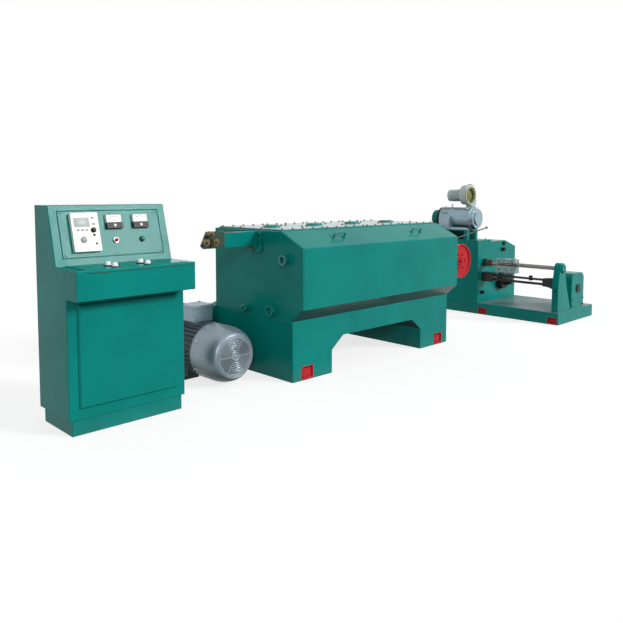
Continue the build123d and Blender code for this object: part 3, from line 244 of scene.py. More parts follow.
# heads that rust a little: small dark brown dots from afar
rusty_bolt = metal("browned_steel", "#7C5B4B", "#4E3B34", 0.55, metallic=0.5)
print("metals ready")

# %% [markdown]
# ## Plastics and lenses
# The controller, buttons and meters are moulded plastic: a fine spark-eroded grain, a little yellowing, no
# metal. Lamp lenses are tinted acrylic, smooth enough for a soft highlight.

# %% Plastic finishes
def plastic(name, colour, aged, roughness, gloss=0.5):
    """Moulded plastic with a fine grain and slightly uneven ageing."""
    material, tree, shader, place = new_material(name, {"Specular IOR Level": gloss})
    ageing = add_node(tree, "ShaderNodeTexNoise", {"Vector": place, "Scale": every(70), "Detail": 3.0})[0]
    tint = add_node(tree, "ShaderNodeMix", {0: ageing, 6: linear(colour), 7: linear(aged)}, data_type="RGBA")[2]
    # a mould's grain is a few tenths of a millimetre, too fine to show, so it is drawn at 1.6 mm
    grain = add_node(tree, "ShaderNodeTexNoise", {"Vector": place, "Scale": every(1.6), "Detail": 1.0})[0]
    rough_range = {0: grain, 1: 0.3, 2: 0.7, 3: roughness - 0.04, 4: roughness + 0.06}
    rough = add_node(tree, "ShaderNodeMapRange", rough_range)[0]
    relief = {"Height": grain, "Strength": 0.08, "Distance": 0.0002}
    connect(tree, shader, tint, rough, add_node(tree, "ShaderNodeBump", relief)[0])
    return material


# moulded cases and dials: clean satin white
white_plastic = plastic("white_moulded_plastic", "#ECEDEA", "#E2E1DA", 0.35)
# polished caps: the brightest spots on the desk
button_plastic = plastic("white_button_plastic", "#F6FBFB", "#ECF4F4", 0.25)
# pressed phenolic: black with a faint sheen
black_plastic = plastic("black_bakelite", "#17181A", "#212122", 0.35, gloss=0.15)
# moulded frames, keys and caps: satin mid grey
grey_plastic = plastic("grey_moulded_plastic", "#8E9594", "#82898A", 0.35)
# a tinted sheet over a display that is off: smooth pale grey
smoked_window = plastic("grey_display_window", "#BFC8C2", "#AEB8B2", 0.3, gloss=0.2)
# unlit lenses: strong colour with one soft highlight
red_lens = plastic("red_acrylic_lens", "#D0222E", "#B81A28", 0.25, gloss=0.3)
green_lens = plastic("green_acrylic_lens", "#2B9A68", "#1F8256", 0.25, gloss=0.3)
# a matt dark strip: painted shade for the shadow gap under the desk's front edge
shadow_line_plastic = plastic("black_shadow_line_plastic", "#17211F", "#202B29", 0.7)
print("plastics ready")

# %% [markdown]
# ## Painting the frame
# Each CAD node keeps its mesh and only gets a finish in its material slots. The table below reads like a
# paint schedule: which finish goes on which pieces.

# %% Paint schedule
paint_schedule = {
    console_enamel: """console_plinth console_cabinet console_front_panel console_desk desk_button_plate
        instrument_panel""",
    teal_enamel: """main_bed gearbox_housing drawing_chamber front_cover inlet_bracket capstan_housing
        main_belt_guard tailstock_housing traverse_bracket takeup_belt_guard""",
    lid_enamel: "top_lids pipe_unions lift_handles",
    bed_enamel: "takeup_bed",
    cabinet_enamel: "takeup_cabinet takeup_motor_stand",
    red_enamel: "main_anchor_boxes takeup_anchor_boxes finishing_capstan",
    motor_enamel: "motor_fan_cowl",
    drive_enamel: "motor_terminal_box takeup_motor takeup_terminal_box",
    fin_enamel: "motor_frame",
    blower_enamel: "blower_casing blower_motor",
    ground_steel: "traverse_shaft",
    milled_steel: "traverse_carriage",
    brass: "inlet_roller_middle inlet_roller_inner inlet_roller_outer",
    oily_enamel: "inlet_roller_plate",
    oiled_iron: """traverse_rods traverse_bearing traverse_gearbox drive_spindle spindle_bearing_cap
        tail_center""",
    bronze: "traverse_stops",
    white_plastic: "drive_controller meter_faces",
    button_plastic: "desk_buttons",
    black_plastic: "meter_bezels",
    red_lens: "stop_lamp",
    green_lens: "run_lamp",
}
for finish, names in paint_schedule.items():
    for name in names.split():
        for material_slot in nodes[name].material_slots:
            material_slot.material = finish
print("painted", sum(len(names.split()) for names in paint_schedule.values()), "nodes")

# %% [markdown]
# ## Tools for pieces
# Every added piece is a bmesh that is shaped in place, so its object stays at the origin. A spot is a frame on
# a surface with its Z axis pointing out, so a piece is thought of as standing on a table wherever it goes.

# %% Spots on surfaces
FRONT, BACK, LEFT, UP = (0, -1, 0), (0, 1, 0), (-1, 0, 0), (0, 0, 1)


def spot_on(place, out, up=UP):
    """A frame on a surface: Z points out of it, Y as near to up as it can."""
    z = Vector(out).normalized()
    x = Vector(up).cross(z).normalized()
    return Matrix.Translation(place) @ Matrix((x, z.cross(x), z)).transposed().to_4x4()


def on_top(x, y, z):
    """A spot on a level top."""
    return spot_on((x, y, z), UP, BACK)


def shift(x, y, z=0.0):
    """A plain move."""
    return Matrix.Translation((x, y, z))


def around(spot, radius, count, start=0.0):
    """Spots evenly spaced on a circle about a spot's axis."""
    step = 2 * pi / count
    return [spot @ Matrix.Rotation(start + step * i, 4, "Z") @ shift(radius, 0) for i in range(count)]


print("a spot on a front face points to", tuple(spot_on((0, 0, 0), FRONT).col[2].xyz))

# %% [markdown]
# Turned things such as knobs and rings are an outline spun about a spot's axis, boxes get rounded edges, and
# hexagon heads are six-sided cones on a washer. Ticks, fan blades and slats are one small block copied by a
# spin, which is quicker than placing each.

# %% Shapes
def turn_outline(bm, spot, outline, steps=32, closed=False):
    """Spins an outline of (radius, height) points about the spot's Z axis."""
    verts = [bm.verts.new(spot @ Vector((radius, 0, height))) for radius, height in outline]
    pairs = list(zip(verts, verts[1:])) + ([(verts[-1], verts[0])] if closed else [])
    edges = [bm.edges.new(pair) for pair in pairs]
    axis = spot.to_3x3() @ Vector(UP)
    bmesh.ops.spin(
        bm, geom=verts + edges, cent=spot.translation, axis=axis, angle=2 * pi, steps=steps, use_merge=True
    )


def round_section(radius, thick, height=0.0, points=8):
    """The outline of a round bar that is bent into a ring of this radius; thick is the bar's own radius."""
    step = 2 * pi / points
    return [(radius + thick * cos(i * step), height + thick * sin(i * step)) for i in range(points)]


def rounded_box(bm, spot, size, edge):
    """A box that stands on a spot, with rounded edges."""
    matrix = spot @ shift(0, 0, size[2] / 2) @ Matrix.Diagonal((*size, 1))
    box = bmesh.ops.create_cube(bm, size=1, matrix=matrix)
    edges = list(dict.fromkeys(e for vert in box["verts"] for e in vert.link_edges))
    bmesh.ops.bevel(bm, geom=edges, offset=edge, segments=2, affect="EDGES", profile=0.5, material=-1)


def spin_copies(bm, spot, block, angle, copies):
    """A thin block and its copies, spread over an angle about the spot's Z axis."""
    made = bmesh.ops.create_cube(bm, size=1, matrix=block)["verts"]
    faces = list(dict.fromkeys(face for vert in made for face in vert.link_faces))
    axis = spot.to_3x3() @ Vector(UP)
    bmesh.ops.spin(
        bm, geom=made + faces, cent=spot.translation, axis=axis, angle=angle, steps=copies, use_duplicate=True
    )


def hex_heads(bm, spots, across):
    """Hexagon heads on washers, one on each spot; across is the width over flats."""
    # one row for the washer and one for the head: sides, lower and upper radius, height, height of its middle
    rows = ((14, 0.78, 0.74, 0.12, 0.06), (6, 0.577, 0.5, 0.45, 0.34))
    for spot in spots:
        for sides, lower, upper, height, middle in rows:
            bmesh.ops.create_cone(
                bm, cap_ends=True, segments=sides, radius1=across * lower, radius2=across * upper,
                depth=across * height, matrix=spot @ shift(0, 0, across * middle),
            )


print("shapes ready")

# %% [markdown]
# Once shaped, a piece has its doubles merged and its normals turned outward. It gets a finish, sharp edges
# where faces meet at a real corner, and the body that it moves with.

# %% Finishing a piece
SHARP_CORNER = radians(35)


def finish_piece(name, bm, material, body="line"):
    """Closes the mesh, paints it and lets it ride on its body."""
    bmesh.ops.remove_doubles(bm, verts=bm.verts, dist=1e-6)
    bmesh.ops.recalc_face_normals(bm, faces=bm.faces)
    mesh = bpy.data.meshes.new(name)
    bm.to_mesh(mesh)
    bm.free()
    mesh.materials.append(material)
    mesh.shade_smooth()
    mesh.set_sharp_from_angle(angle=SHARP_CORNER)
    piece = bpy.data.objects.new(name, mesh)
    bpy.context.collection.objects.link(piece)
    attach(piece, body)
    print(f"{name}: {len(mesh.polygons)} faces")


print("corners over", round(SHARP_CORNER, 3), "radians stay sharp")

# %% [markdown]
# ## Console instruments
# The sloped face carries two square panel meters: a white dial over a black base, with a scale, a needle and
# a screw that sets its zero. The scale's ticks are one small bar, copied by a spin about the needle's pivot.

# %% Meter dials
slope = spot_on((-2.635, -0.23, 0.98), (0, -0.36, 0.1))
meter_rows = (0.013, 0.195)
scale_arc = radians(96)
tick_rows = ((0.044, 0.0011, 0.005, 20), (0.0455, 0.0018, 0.008, 4))  # reach, width, length, gaps
ticks, needles, frames = bmesh.new(), bmesh.new(), bmesh.new()
for offset in meter_rows:
    dial = slope @ shift(offset, 0.280, 0.016)
    pivot = dial @ shift(0, -0.031)
    first = pivot @ Matrix.Rotation(scale_arc / 2, 4, "Z")
    for reach, width, length, gaps in tick_rows:
        bar = first @ shift(0, reach, 0.0008) @ Matrix.Diagonal((width, length, 0.0006, 1))
        spin_copies(ticks, pivot, bar, -scale_arc, gaps)
    swing = pivot @ Matrix.Rotation(radians(34), 4, "Z")
    rounded_box(needles, swing @ shift(0, 0.024, 0.0008), (0.0014, 0.040, 0.0012), 0.0003)
    for side in (-1, 1):
        rounded_box(frames, dial @ shift(side * 0.0515, 0), (0.003, 0.052, 0.003), 0.0008)
        rounded_box(frames, dial @ shift(0, side * 0.0245), (0.106, 0.003, 0.003), 0.0008)
finish_piece("meter_scale_ticks", ticks, black_plastic)
finish_piece("meter_needles", needles, red_lens)
finish_piece("meter_frames", frames, grey_plastic)

zero_screws = bmesh.new()
screw_outline = [(0, 0), (0.009, 0), (0.009, 0.002), (0.0075, 0.0036), (0, 0.0036)]
for offset in meter_rows:
    seat = slope @ shift(offset, 0.235, 0.021)
    turn_outline(zero_screws, seat, screw_outline, 20)
    rounded_box(zero_screws, seat @ shift(0, 0, 0.0034), (0.012, 0.0018, 0.0008), 0.0002)
finish_piece("meter_zero_screws", zero_screws, white_plastic)

# %% [markdown]
# The drive controller is a white moulded box: a display behind a grey window, small keys beside and below it,
# two knobs and a lamp near its right edge, and a round dial cap. Each is an outline turned about its own axis
# or a rounded box.

# %% Controller details
face = slope @ shift(-0.184, 0.198, 0.028)
window = bmesh.new()
rounded_box(window, face @ shift(-0.022, 0.060, -0.0028), (0.094, 0.056, 0.002), 0.0006)
finish_piece("controller_window", window, smoked_window)

keys = bmesh.new()
for x, y in ((0.050, 0.086), (0.053, 0.048), (-0.050, 0.012), (-0.022, 0.012), (0.006, 0.012)):
    rounded_box(keys, face @ shift(x, y), (0.016, 0.011, 0.004), 0.0012)
finish_piece("controller_keys", keys, grey_plastic)

knob_outline = [(0, 0.019), (0.010, 0.019), (0.0125, 0.016), (0.0135, 0.004), (0.017, 0.002), (0.017, 0)]
knobs = bmesh.new()
turn_outline(knobs, face @ shift(0.047, 0.010), knob_outline, 24)
turn_outline(knobs, face @ shift(0.048, -0.020), [(r * 0.45, h * 0.5) for r, h in knob_outline], 16)
rounded_box(knobs, face @ shift(0.047, 0.016, 0.0185), (0.002, 0.010, 0.0012), 0.0004)
finish_piece("controller_knobs", knobs, black_plastic)

pilot = bmesh.new()
turn_outline(pilot, face @ shift(0.056, -0.074), [(0, 0.006), (0.005, 0.005), (0.007, 0.002), (0.007, 0)], 16)
finish_piece("controller_pilot_lamp", pilot, bronze)

pointer_cap = bmesh.new()
cap = face @ shift(-0.022, -0.048)
turn_outline(pointer_cap, cap, [(0.0142, 0), (0.021, 0), (0.021, 0.002), (0.0145, 0.003)], 28, closed=True)
turn_outline(pointer_cap, cap @ shift(0, 0, 0.014), [(0, 0.003), (0.009, 0.003), (0.0112, 0), (0, 0)], 24)
rounded_box(pointer_cap, cap @ shift(0, 0.005, 0.0165), (0.003, 0.012, 0.0022), 0.0006)
finish_piece("controller_dial_cap", pointer_cap, grey_plastic)

# %% [markdown]
# Pilot lamps and push buttons sit in turned rings: a bright one for the red lamp, dark ones for the rest. A
# torus would be too round for a ring with a flat seat, so each is an outline spun about its axis.

# %% Lamp rings and button rings
bright_ring, dark_rings = bmesh.new(), bmesh.new()
desk_top = on_top(-2.635, -0.35, 0.984)
lamp_row = 0.143
button_spots = [desk_top @ shift(x, y) for x in (-0.140, 0.072) for y in (-0.120, -0.035)]
lamp_ring = [
    (0.0134, 0.0062), (0.0172, 0.0062), (0.0172, 0), (0.0184, 0), (0.0184, 0.007), (0.017, 0.0095),
    (0.0134, 0.0095),
]
button_ring = [(0.0206, 0), (0.0255, 0), (0.0255, 0.003), (0.023, 0.006), (0.0206, 0.006)]
for rim, offset in zip((bright_ring, dark_rings), meter_rows):
    turn_outline(rim, slope @ shift(offset, lamp_row), lamp_ring, 28, closed=True)
for seat in button_spots:
    turn_outline(dark_rings, seat, button_ring, 28, closed=True)
finish_piece("stop_lamp_ring", bright_ring, zinc)
finish_piece("run_lamp_and_button_rings", dark_rings, black_plastic)

# %% [markdown]
# Lenses and button caps stand in those rings. They are turned too, a little larger than the plain CAD ones, so
# that they show a highlight as the real ones do. Small painted screws hold the sloped panel and the desk's
# plate.

# %% Lenses, button caps and panel screws
dome = [
    (0, 0.0064), (0.0132, 0.0064), (0.0125, 0.012), (0.0113, 0.0175), (0.0105, 0.0203), (0.008, 0.0226),
    (0.0045, 0.0239), (0, 0.0243),
]
lamps = (("stop_lamp_dome", red_lens, "red_lens"), ("run_lamp_dome", green_lens, "green_lens"))
for (name, finish, slot), offset in zip(lamps, meter_rows):
    lens = bmesh.new()
    turn_outline(lens, slope @ shift(offset, lamp_row), dome, 28)
    finish_piece(name, lens, finish)

button_caps = bmesh.new()
crown = [(0, 0.027), (0.008, 0.0265), (0.0125, 0.0245), (0.0158, 0.020), (0.0162, 0.0085)]
for seat in button_spots:
    turn_outline(button_caps, seat, crown, 28)
finish_piece("button_caps", button_caps, button_plastic)

panel_screws = bmesh.new()
head = [(0, 0.0028), (0.0028, 0.0025), (0.0048, 0.0012), (0.0054, 0)]
panel_edge = 0.318
seats = [slope @ shift(x, y) for x in (-panel_edge, 0, panel_edge) for y in (0.062, 0.320)]
seats += [desk_top @ shift(x, y) for x in (-panel_edge, panel_edge) for y in (-0.104, 0.068)]
for seat in seats:
    turn_outline(panel_screws, seat, head, 16)
finish_piece("console_panel_screws", panel_screws, console_enamel)

# %% [markdown]
# A dark strip stands under the desk's front edge, where its tray meets the top sheet: it is painted shade for
# the shadow gap there. A line painted on the sheet would not stand out, so it is a thin box placed in the
# joint.

# %% Desk shadow line
desk_shadow_line = bmesh.new()
# painted shade: a dark strip in the joint for the shadow gap
rounded_box(desk_shadow_line, spot_on((-2.605, -0.505, 0.962), FRONT), (0.716, 0.004, 0.0012), 0.0004)
finish_piece("desk_front_shadow_line", desk_shadow_line, shadow_line_plastic)

# %% [markdown]
# ## Main motor
# The motor's fan cowl faces the operator. Its grille has a raised hub and rings, and dark fan blades show
# through the slots. One blade is a thin tilted block; a spin with copies makes the whole fan.

# %% Fan behind the grille
motor_x, motor_z = -1.715, 0.225
fan_blades = 9
cowl = spot_on((motor_x, -0.220, motor_z), FRONT)
fan = bmesh.new()
boss_outline = [(0, 0.03), (0.05, 0.03), (0.06, 0.0), (0.06, -0.06), (0, -0.06)]
turn_outline(fan, cowl @ shift(0, 0, -0.075), boss_outline, 32)
tilted = cowl @ shift(0.1, 0, -0.085) @ Matrix.Rotation(radians(28), 4, "X")
blade = tilted @ Matrix.Diagonal((0.1, 0.004, 0.07, 1))
spin_copies(fan, cowl, blade, 2 * pi * (fan_blades - 1) / fan_blades, fan_blades - 1)
finish_piece("motor_fan", fan, fin_enamel)

# %% [markdown]
# The hub is a pressed cap and the guard rings are welded wire. A ring is a small round section spun about the
# axis, and a thicker bead closes the grille. Zinc clips hold the cowl to the motor's frame.

# %% Cowl hub, guard rings and clips
guard = bmesh.new()
hub_cap = [
    (0, 0.006), (0.012, 0.006), (0.014, 0.003), (0.026, 0.003), (0.029, 0.007), (0.035, 0.007), (0.040, 0.0)
]
turn_outline(guard, cowl, hub_cap, 40)
for radius in [0.0385 + 0.0085 * k for k in range(13)] + [0.150]:
    turn_outline(guard, cowl, round_section(radius, 0.0019, 0.0006, 6), 56, closed=True)
turn_outline(guard, cowl, round_section(0.1585, 0.0034, -0.0012), 72, closed=True)
finish_piece("cowl_guard", guard, motor_enamel)

clips = bmesh.new()
frame_radius = 0.21
for i in range(6):
    angle = radians(30 + 60 * i)
    out = Vector((cos(angle), 0, sin(angle)))
    clip = spot_on(Vector((motor_x, 0.034, motor_z)) + frame_radius * out, out, BACK)
    rounded_box(clips, clip @ shift(0, -0.016, -0.001), (0.014, 0.056, 0.004), 0.0012)
    hex_heads(clips, [clip @ shift(0, 0, 0.003)], 0.010)
finish_piece("cowl_clips", clips, zinc)

# %% [markdown]
# The terminal box has a lid held by four screws. A lifting eye, a ring on a collar, is how the take-up's motor
# is carried.

# %% Terminal box screws and lifting eye
box_low, box_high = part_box("motor_terminal_box")
lid_screws = bmesh.new()
inset = 0.024
for x in (box_low.x + inset, box_high.x - inset):
    for y in (box_low.y + inset, box_high.y - inset):
        hex_heads(lid_screws, [on_top(x, y, box_high.z)], 0.012)
finish_piece("terminal_lid_screws", lid_screws, zinc)


def lifting_eye(bm, seat, size):
    """An eye bolt: a collar with a ring standing on it."""
    collar = [(0, 0.5), (0.35, 0.45), (0.6, 0.2), (0.6, 0)]
    turn_outline(bm, seat, [(radius * size, height * size) for radius, height in collar], 20)
    ring = seat @ shift(0, 0, size * 1.25) @ Matrix.Rotation(radians(90), 4, "X")
    turn_outline(bm, ring, round_section(size * 0.85, size * 0.22), 24, closed=True)


traverse_x = 2.285  # the traverse, the take-up's motor and the blower stand in one plane
eye_bolt = bmesh.new()
lifting_eye(eye_bolt, on_top(traverse_x, 0.600, 1.250), 0.018)
finish_piece("motor_lifting_eye", eye_bolt, drive_enamel)

# %% [markdown]
# ## Feet
# Red levelling blocks stand in the foot pockets of both beds. A block fills most of its pocket and leaves a
# dark gap above, so a rounded box set back a little from the pocket's mouth is enough.

# %% Levelling blocks
blocks = bmesh.new()
set_back, pocket_floor = 0.048, 0.020
for x in (-1.205, 0.495):
    for y in (-0.445 + set_back, 0.515 - set_back):
        rounded_box(blocks, shift(x, y, pocket_floor), (0.108, 0.076, 0.066), 0.004)
for x in (2.145 + set_back, 3.025 - set_back):
    for y in (-0.775, 0.075):
        rounded_box(blocks, shift(x, y, pocket_floor), (0.076, 0.088, 0.042), 0.004)
finish_piece("levelling_blocks", blocks, red_enamel)

# %% [markdown]
# ## Drawing machine
# Hexagon bolts hold the four lids along their edges; in the photograph they show as rows of dark dots along
# the bright top. They are placed from the box of the lids' node, so they follow the CAD model.

# %% Lid bolts
lids_low, lids_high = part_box("top_lids")
lid_top, lid_gap = 1.140, 0.008
end_margin, side_margin = 0.022, 0.020
lid_length = (lids_high.x - lids_low.x - 3 * lid_gap) / 4
lid_width = lids_high.y - lids_low.y
lid_bolts = bmesh.new()
for i in range(4):
    left = lids_low.x + i * (lid_length + lid_gap)
    ends = (left + end_margin, left + lid_length - end_margin)
    along = [left + end_margin + (lid_length - 2 * end_margin) * k / 4 for k in range(5)]
    spots = [(x, y) for x in along for y in (lids_low.y + side_margin, lids_high.y - side_margin)]
    spots += [(x, lids_low.y + lid_width * k / 3) for k in (1, 2) for x in ends]
    hex_heads(lid_bolts, [on_top(x, y, lid_top) for x, y in spots], 0.014)
finish_piece("lid_bolts", lid_bolts, rusty_bolt)

# %% [markdown]
# The round inspection caps on the lids have a finger ring pressed into their top and a screw in the middle. The
# ring could be bump, but it catches light from the side, so it is a turned ridge.

# %% Inspection cap rings
cap_rings = bmesh.new()
for i in range(4):
    middle = lids_low.x + lid_length / 2 + i * (lid_length + lid_gap)
    seat = on_top(middle, (lids_low.y + lids_high.y) / 2, lids_high.z)
    turn_outline(cap_rings, seat, [(0.052, 0), (0.055, 0.003), (0.061, 0.003), (0.064, 0)], 40)
    turn_outline(cap_rings, seat, [(0, 0.004), (0.010, 0.004), (0.014, 0.001), (0.014, 0)], 24)
finish_piece("inspection_cap_rings", cap_rings, teal_enamel)

# %% [markdown]
# The inlet bracket's flange is bolted to the end wall. Its rollers turn on pins with hexagon nuts, and browned
# screws hold the roller plate to the arm.

# %% Inlet fasteners
flange_low, flange_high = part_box("inlet_bracket")
inlet_bolts = bmesh.new()
flange_x = flange_high.x - 0.018
for y, z in ((flange_low.y + 0.018, 1.108), (flange_low.y + 0.018, 0.968), (flange_high.y - 0.045, 0.968)):
    hex_heads(inlet_bolts, [spot_on((flange_x, y, z), LEFT)], 0.016)
finish_piece("inlet_flange_bolts", inlet_bolts, teal_enamel)

plate_low, plate_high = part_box("inlet_roller_plate")
plate_screws = bmesh.new()
for x in (plate_high.x + 0.03, plate_high.x + 0.09):
    for y in (-0.030, 0.010):
        hex_heads(plate_screws, [on_top(x, y, flange_high.z)], 0.016)
for name in ("inlet_roller_middle", "inlet_roller_inner", "inlet_roller_outer"):
    low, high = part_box(name)
    nut = spot_on(((low.x + high.x) / 2, plate_low.y, (low.z + high.z) / 2), FRONT)
    hex_heads(plate_screws, [nut], 0.013)
finish_piece("inlet_plate_screws", plate_screws, rusty_bolt)

# %% [markdown]
# The bow handles on the cover's slope stand on small round feet. The slope's direction comes from its rise
# over its run.

# %% Handle feet
feet = bmesh.new()
cover_slope = Vector((0, -0.116, 0.235)).normalized()
foot_outline = [(0.0072, 0.007), (0.012, 0.007), (0.017, 0.004), (0.018, 0), (0.0072, 0)]
for x in (-0.855, 0.145):
    for side in (-0.06, 0.06):
        seat = spot_on((x + side, -0.4395, 1.07), cover_slope)
        turn_outline(feet, seat, foot_outline, 24, closed=True)
finish_piece("cover_handle_feet", feet, teal_enamel)

# %% [markdown]
# ## Finishing capstan
# The red capstan is a dished cast wheel. Six bolts hold it to its hub, and the wire has polished a bright band
# in its groove. Both turn with it, so they ride on its body.

# %% Capstan bolts and wire track
hub = spot_on((0.9, -0.435, 0.756), FRONT)
hub_bolts = bmesh.new()
hex_heads(hub_bolts, around(hub @ shift(0, 0, -0.014), 0.075, 6), 0.018)
shaft_nut = [(0, 0.016), (0.012, 0.016), (0.020, 0.010), (0.022, 0.0)]
turn_outline(hub_bolts, hub @ shift(0, 0, -0.005), shaft_nut, 6)
finish_piece("capstan_hub_bolts", hub_bolts, red_enamel, "capstan")

track = bmesh.new()
polished = [
    (0.154, -0.014), (0.1562, -0.014), (0.1568, -0.012), (0.1568, 0.012), (0.1562, 0.014), (0.154, 0.014)
]
turn_outline(track, hub @ shift(0, 0, -0.035), polished, 96, closed=True)
finish_piece("capstan_wire_track", track, ground_steel, "capstan")

# %% [markdown]
# ## Belt guards
# Guards are sheet-metal boxes that hide the belts. Hexagon bolts near the rim hold their back plates. Their
# places along the rim are listed, and the plate's depth comes from the guard's own box.

# %% Guard bolts
guard_bolts = bmesh.new()
bolt_places = {
    "main_belt_guard": (
        (-1.715, 0.108), (-1.832, 0.225), (-1.735, 0.340), (-1.155, 0.163), (-0.988, 0.33), (-1.155, 0.497),
        (-1.435, 0.415),
    ),
    "takeup_belt_guard": (
        (2.285, 1.190), (2.212, 1.09), (2.36, 1.11), (2.525, 0.33), (2.665, 0.21), (2.805, 0.36), (2.57, 0.75),
        (2.42, 0.70),
    ),
}
for name, places in bolt_places.items():
    back_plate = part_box(name)[1].y
    hex_heads(guard_bolts, [spot_on((x, back_plate, z), BACK) for x, z in places], 0.015)
finish_piece("belt_guard_bolts", guard_bolts, zinc)

# %% [markdown]
# ## Bobbin take-up
# The lower traverse rod is a screw. A thread is a ridge that climbs as it goes round: the ridge's outline is
# spun many turns with a small step along the axis at each copy.

# %% Traverse screw thread
rods_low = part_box("traverse_rods")[0]
thread = bmesh.new()
pitch, turns, per_turn = 0.014, 41, 14
start = spot_on((traverse_x, rods_low.y + 0.012, rods_low.z + 0.013), BACK)
ridge = [(0.0126, -0.0042), (0.0152, -0.0018), (0.0152, 0.0018), (0.0126, 0.0042)]
verts = [thread.verts.new(start @ Vector((radius, 0, height))) for radius, height in ridge]
edges = [thread.edges.new(pair) for pair in zip(verts, verts[1:])]
bmesh.ops.spin(
    thread, geom=verts + edges, cent=start.translation, axis=BACK, dvec=(0, pitch / per_turn, 0),
    angle=2 * pi * turns, steps=turns * per_turn,
)
finish_piece("traverse_screw_thread", thread, oiled_iron)

# %% [markdown]
# Bolts hold the bearing cap, the bracket's cap, the tailstock's foot and the motor's stand. They are the same
# hexagon heads in different sizes. A dark sleeve closes the boss where the guide shaft enters the cabinet, and
# a dark bolt sits on the side of the traverse's bracket.

# %% Take-up bolts and shaft sleeve
spindle_x, spindle_z = 2.665, 0.35
cabinet_front, shaft_z, stand_top = 0.145, 0.6, 0.866
spindle_cap = spot_on((spindle_x, 0.119, spindle_z), FRONT)
bracket_cap = spot_on((traverse_x, -0.836, shaft_z), FRONT)
takeup_bolts = bmesh.new()
hex_heads(takeup_bolts, around(spindle_cap, 0.086, 6, radians(30)), 0.016)
hex_heads(takeup_bolts, around(bracket_cap, 0.034, 4, radians(45)), 0.011)
for x in (2.535, 2.795):
    for z in (0.165, 0.235):
        hex_heads(takeup_bolts, [spot_on((x, -0.825, z), FRONT)], 0.017)
for x in (2.190, 2.430):
    for y in (0.220, 0.560):
        hex_heads(takeup_bolts, [on_top(x, y, stand_top)], 0.016)
finish_piece("takeup_bolts", takeup_bolts, cabinet_enamel)

sleeve = bmesh.new()
boss = spot_on((traverse_x, cabinet_front, shaft_z), FRONT)
shell = [
    (0.0438, 0.001), (0.0452, 0.001), (0.0452, 0.043), (0.042, 0.0465), (0.0228, 0.0465), (0.0228, 0.0448),
    (0.0438, 0.0448),
]
turn_outline(sleeve, boss, shell, 40, closed=True)
hex_heads(sleeve, [spot_on((2.185, -0.785, 0.36), LEFT)], 0.018)
finish_piece("shaft_boss_sleeve", sleeve, oiled_iron)

# %% [markdown]
# Dark clamp screws hold both halves of the carriage's block, from its side and from above. Those on the side
# have flat round heads, which are turned, and those on top are hexagon heads. All ride with the carriage.

# %% Carriage screws
carriage_low, carriage_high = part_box("traverse_carriage")
carriage_screws = bmesh.new()
clamp_head = [(0, -0.001), (0.0075, -0.001), (0.0075, 0.001), (0.006, 0.0025), (0, 0.0025)]
for y in (carriage_low.y + 0.040, carriage_high.y - 0.040):
    for z in (0.640, 0.545):
        turn_outline(carriage_screws, spot_on((carriage_low.x, y, z), LEFT), clamp_head, 20)
    seat = on_top(traverse_x, y, carriage_high.z)
    hex_heads(carriage_screws, [seat @ shift(side, 0) for side in (-0.032, 0.032)], 0.012)
finish_piece("carriage_screws", carriage_screws, oiled_iron, "carriage")

# %% [markdown]
# Two round knobs close the cabinet's front, one near its cut corner and one low on the left, and a small
# catch sits above the first. Knobs are turned on a lathe, so each is an outline spun about its axis.

# %% Cabinet knobs
cabinet_knobs = bmesh.new()
mushroom = [
    (0, 0.040), (0.020, 0.038), (0.025, 0.030), (0.025, 0.022), (0.012, 0.012), (0.012, 0.005), (0.026, 0.003),
    (0.026, 0),
]
for x, z, size in ((2.705, 0.735, 1.0), (2.235, 0.25, 0.9)):
    seat = spot_on((x, cabinet_front, z), FRONT)
    turn_outline(cabinet_knobs, seat, [(radius * size, height * size) for radius, height in mushroom], 28)
rounded_box(cabinet_knobs, spot_on((2.728, cabinet_front, 0.805), FRONT), (0.030, 0.046, 0.022), 0.005)
finish_piece("cabinet_knobs", cabinet_knobs, black_plastic)

# %% [markdown]
# The tail quill's front end has a square socket for a crank. A real socket is broached. At this size a turned
# cap with a dark four-sided plug deep in its middle reads the same and needs no cut.

# %% Tail plug
tail_plug = bmesh.new()
plug = spot_on((spindle_x, -0.837, spindle_z), FRONT)
socket_cap = [
    (0.016, -0.006), (0.016, 0.002), (0.034, 0.002), (0.040, -0.001), (0.047, -0.001), (0.047, -0.006)
]
turn_outline(tail_plug, plug, socket_cap, 32, closed=True)
turn_outline(tail_plug, plug, [(0, -0.003), (0.0165, -0.003), (0.0165, -0.005), (0, -0.005)], 4)
finish_piece("tail_quill_socket", tail_plug, oiled_iron)

# %% [markdown]
# ## Take-up motor
# A black band runs round the drive end, with two pairs of vent ribs beside it. Louvred covers close the
# brush openings at the other end, four tie bolts hold that end shield, and a lid closes the terminal box.

# %% Drive-end band, brush covers and tie bolts
motor_radius = 0.132
shaft_line = spot_on((traverse_x, 0.245, 1.118), FRONT)
band = bmesh.new()
strap = [
    (0.112, -0.497), (0.128, -0.497), (motor_radius, -0.493), (motor_radius, -0.470), (0.128, -0.466),
    (0.112, -0.466),
]
turn_outline(band, shaft_line, strap, 72, closed=True)
finish_piece("motor_drive_band", band, black_plastic)


def on_motor(degrees, back):
    """A spot on the motor's round side, this far behind its front shield."""
    outward = shaft_line.to_3x3() @ Vector((cos(radians(degrees)), sin(radians(degrees)), 0))
    return spot_on(shaft_line @ Vector((0, 0, -back)) + outward * motor_radius, outward, BACK)


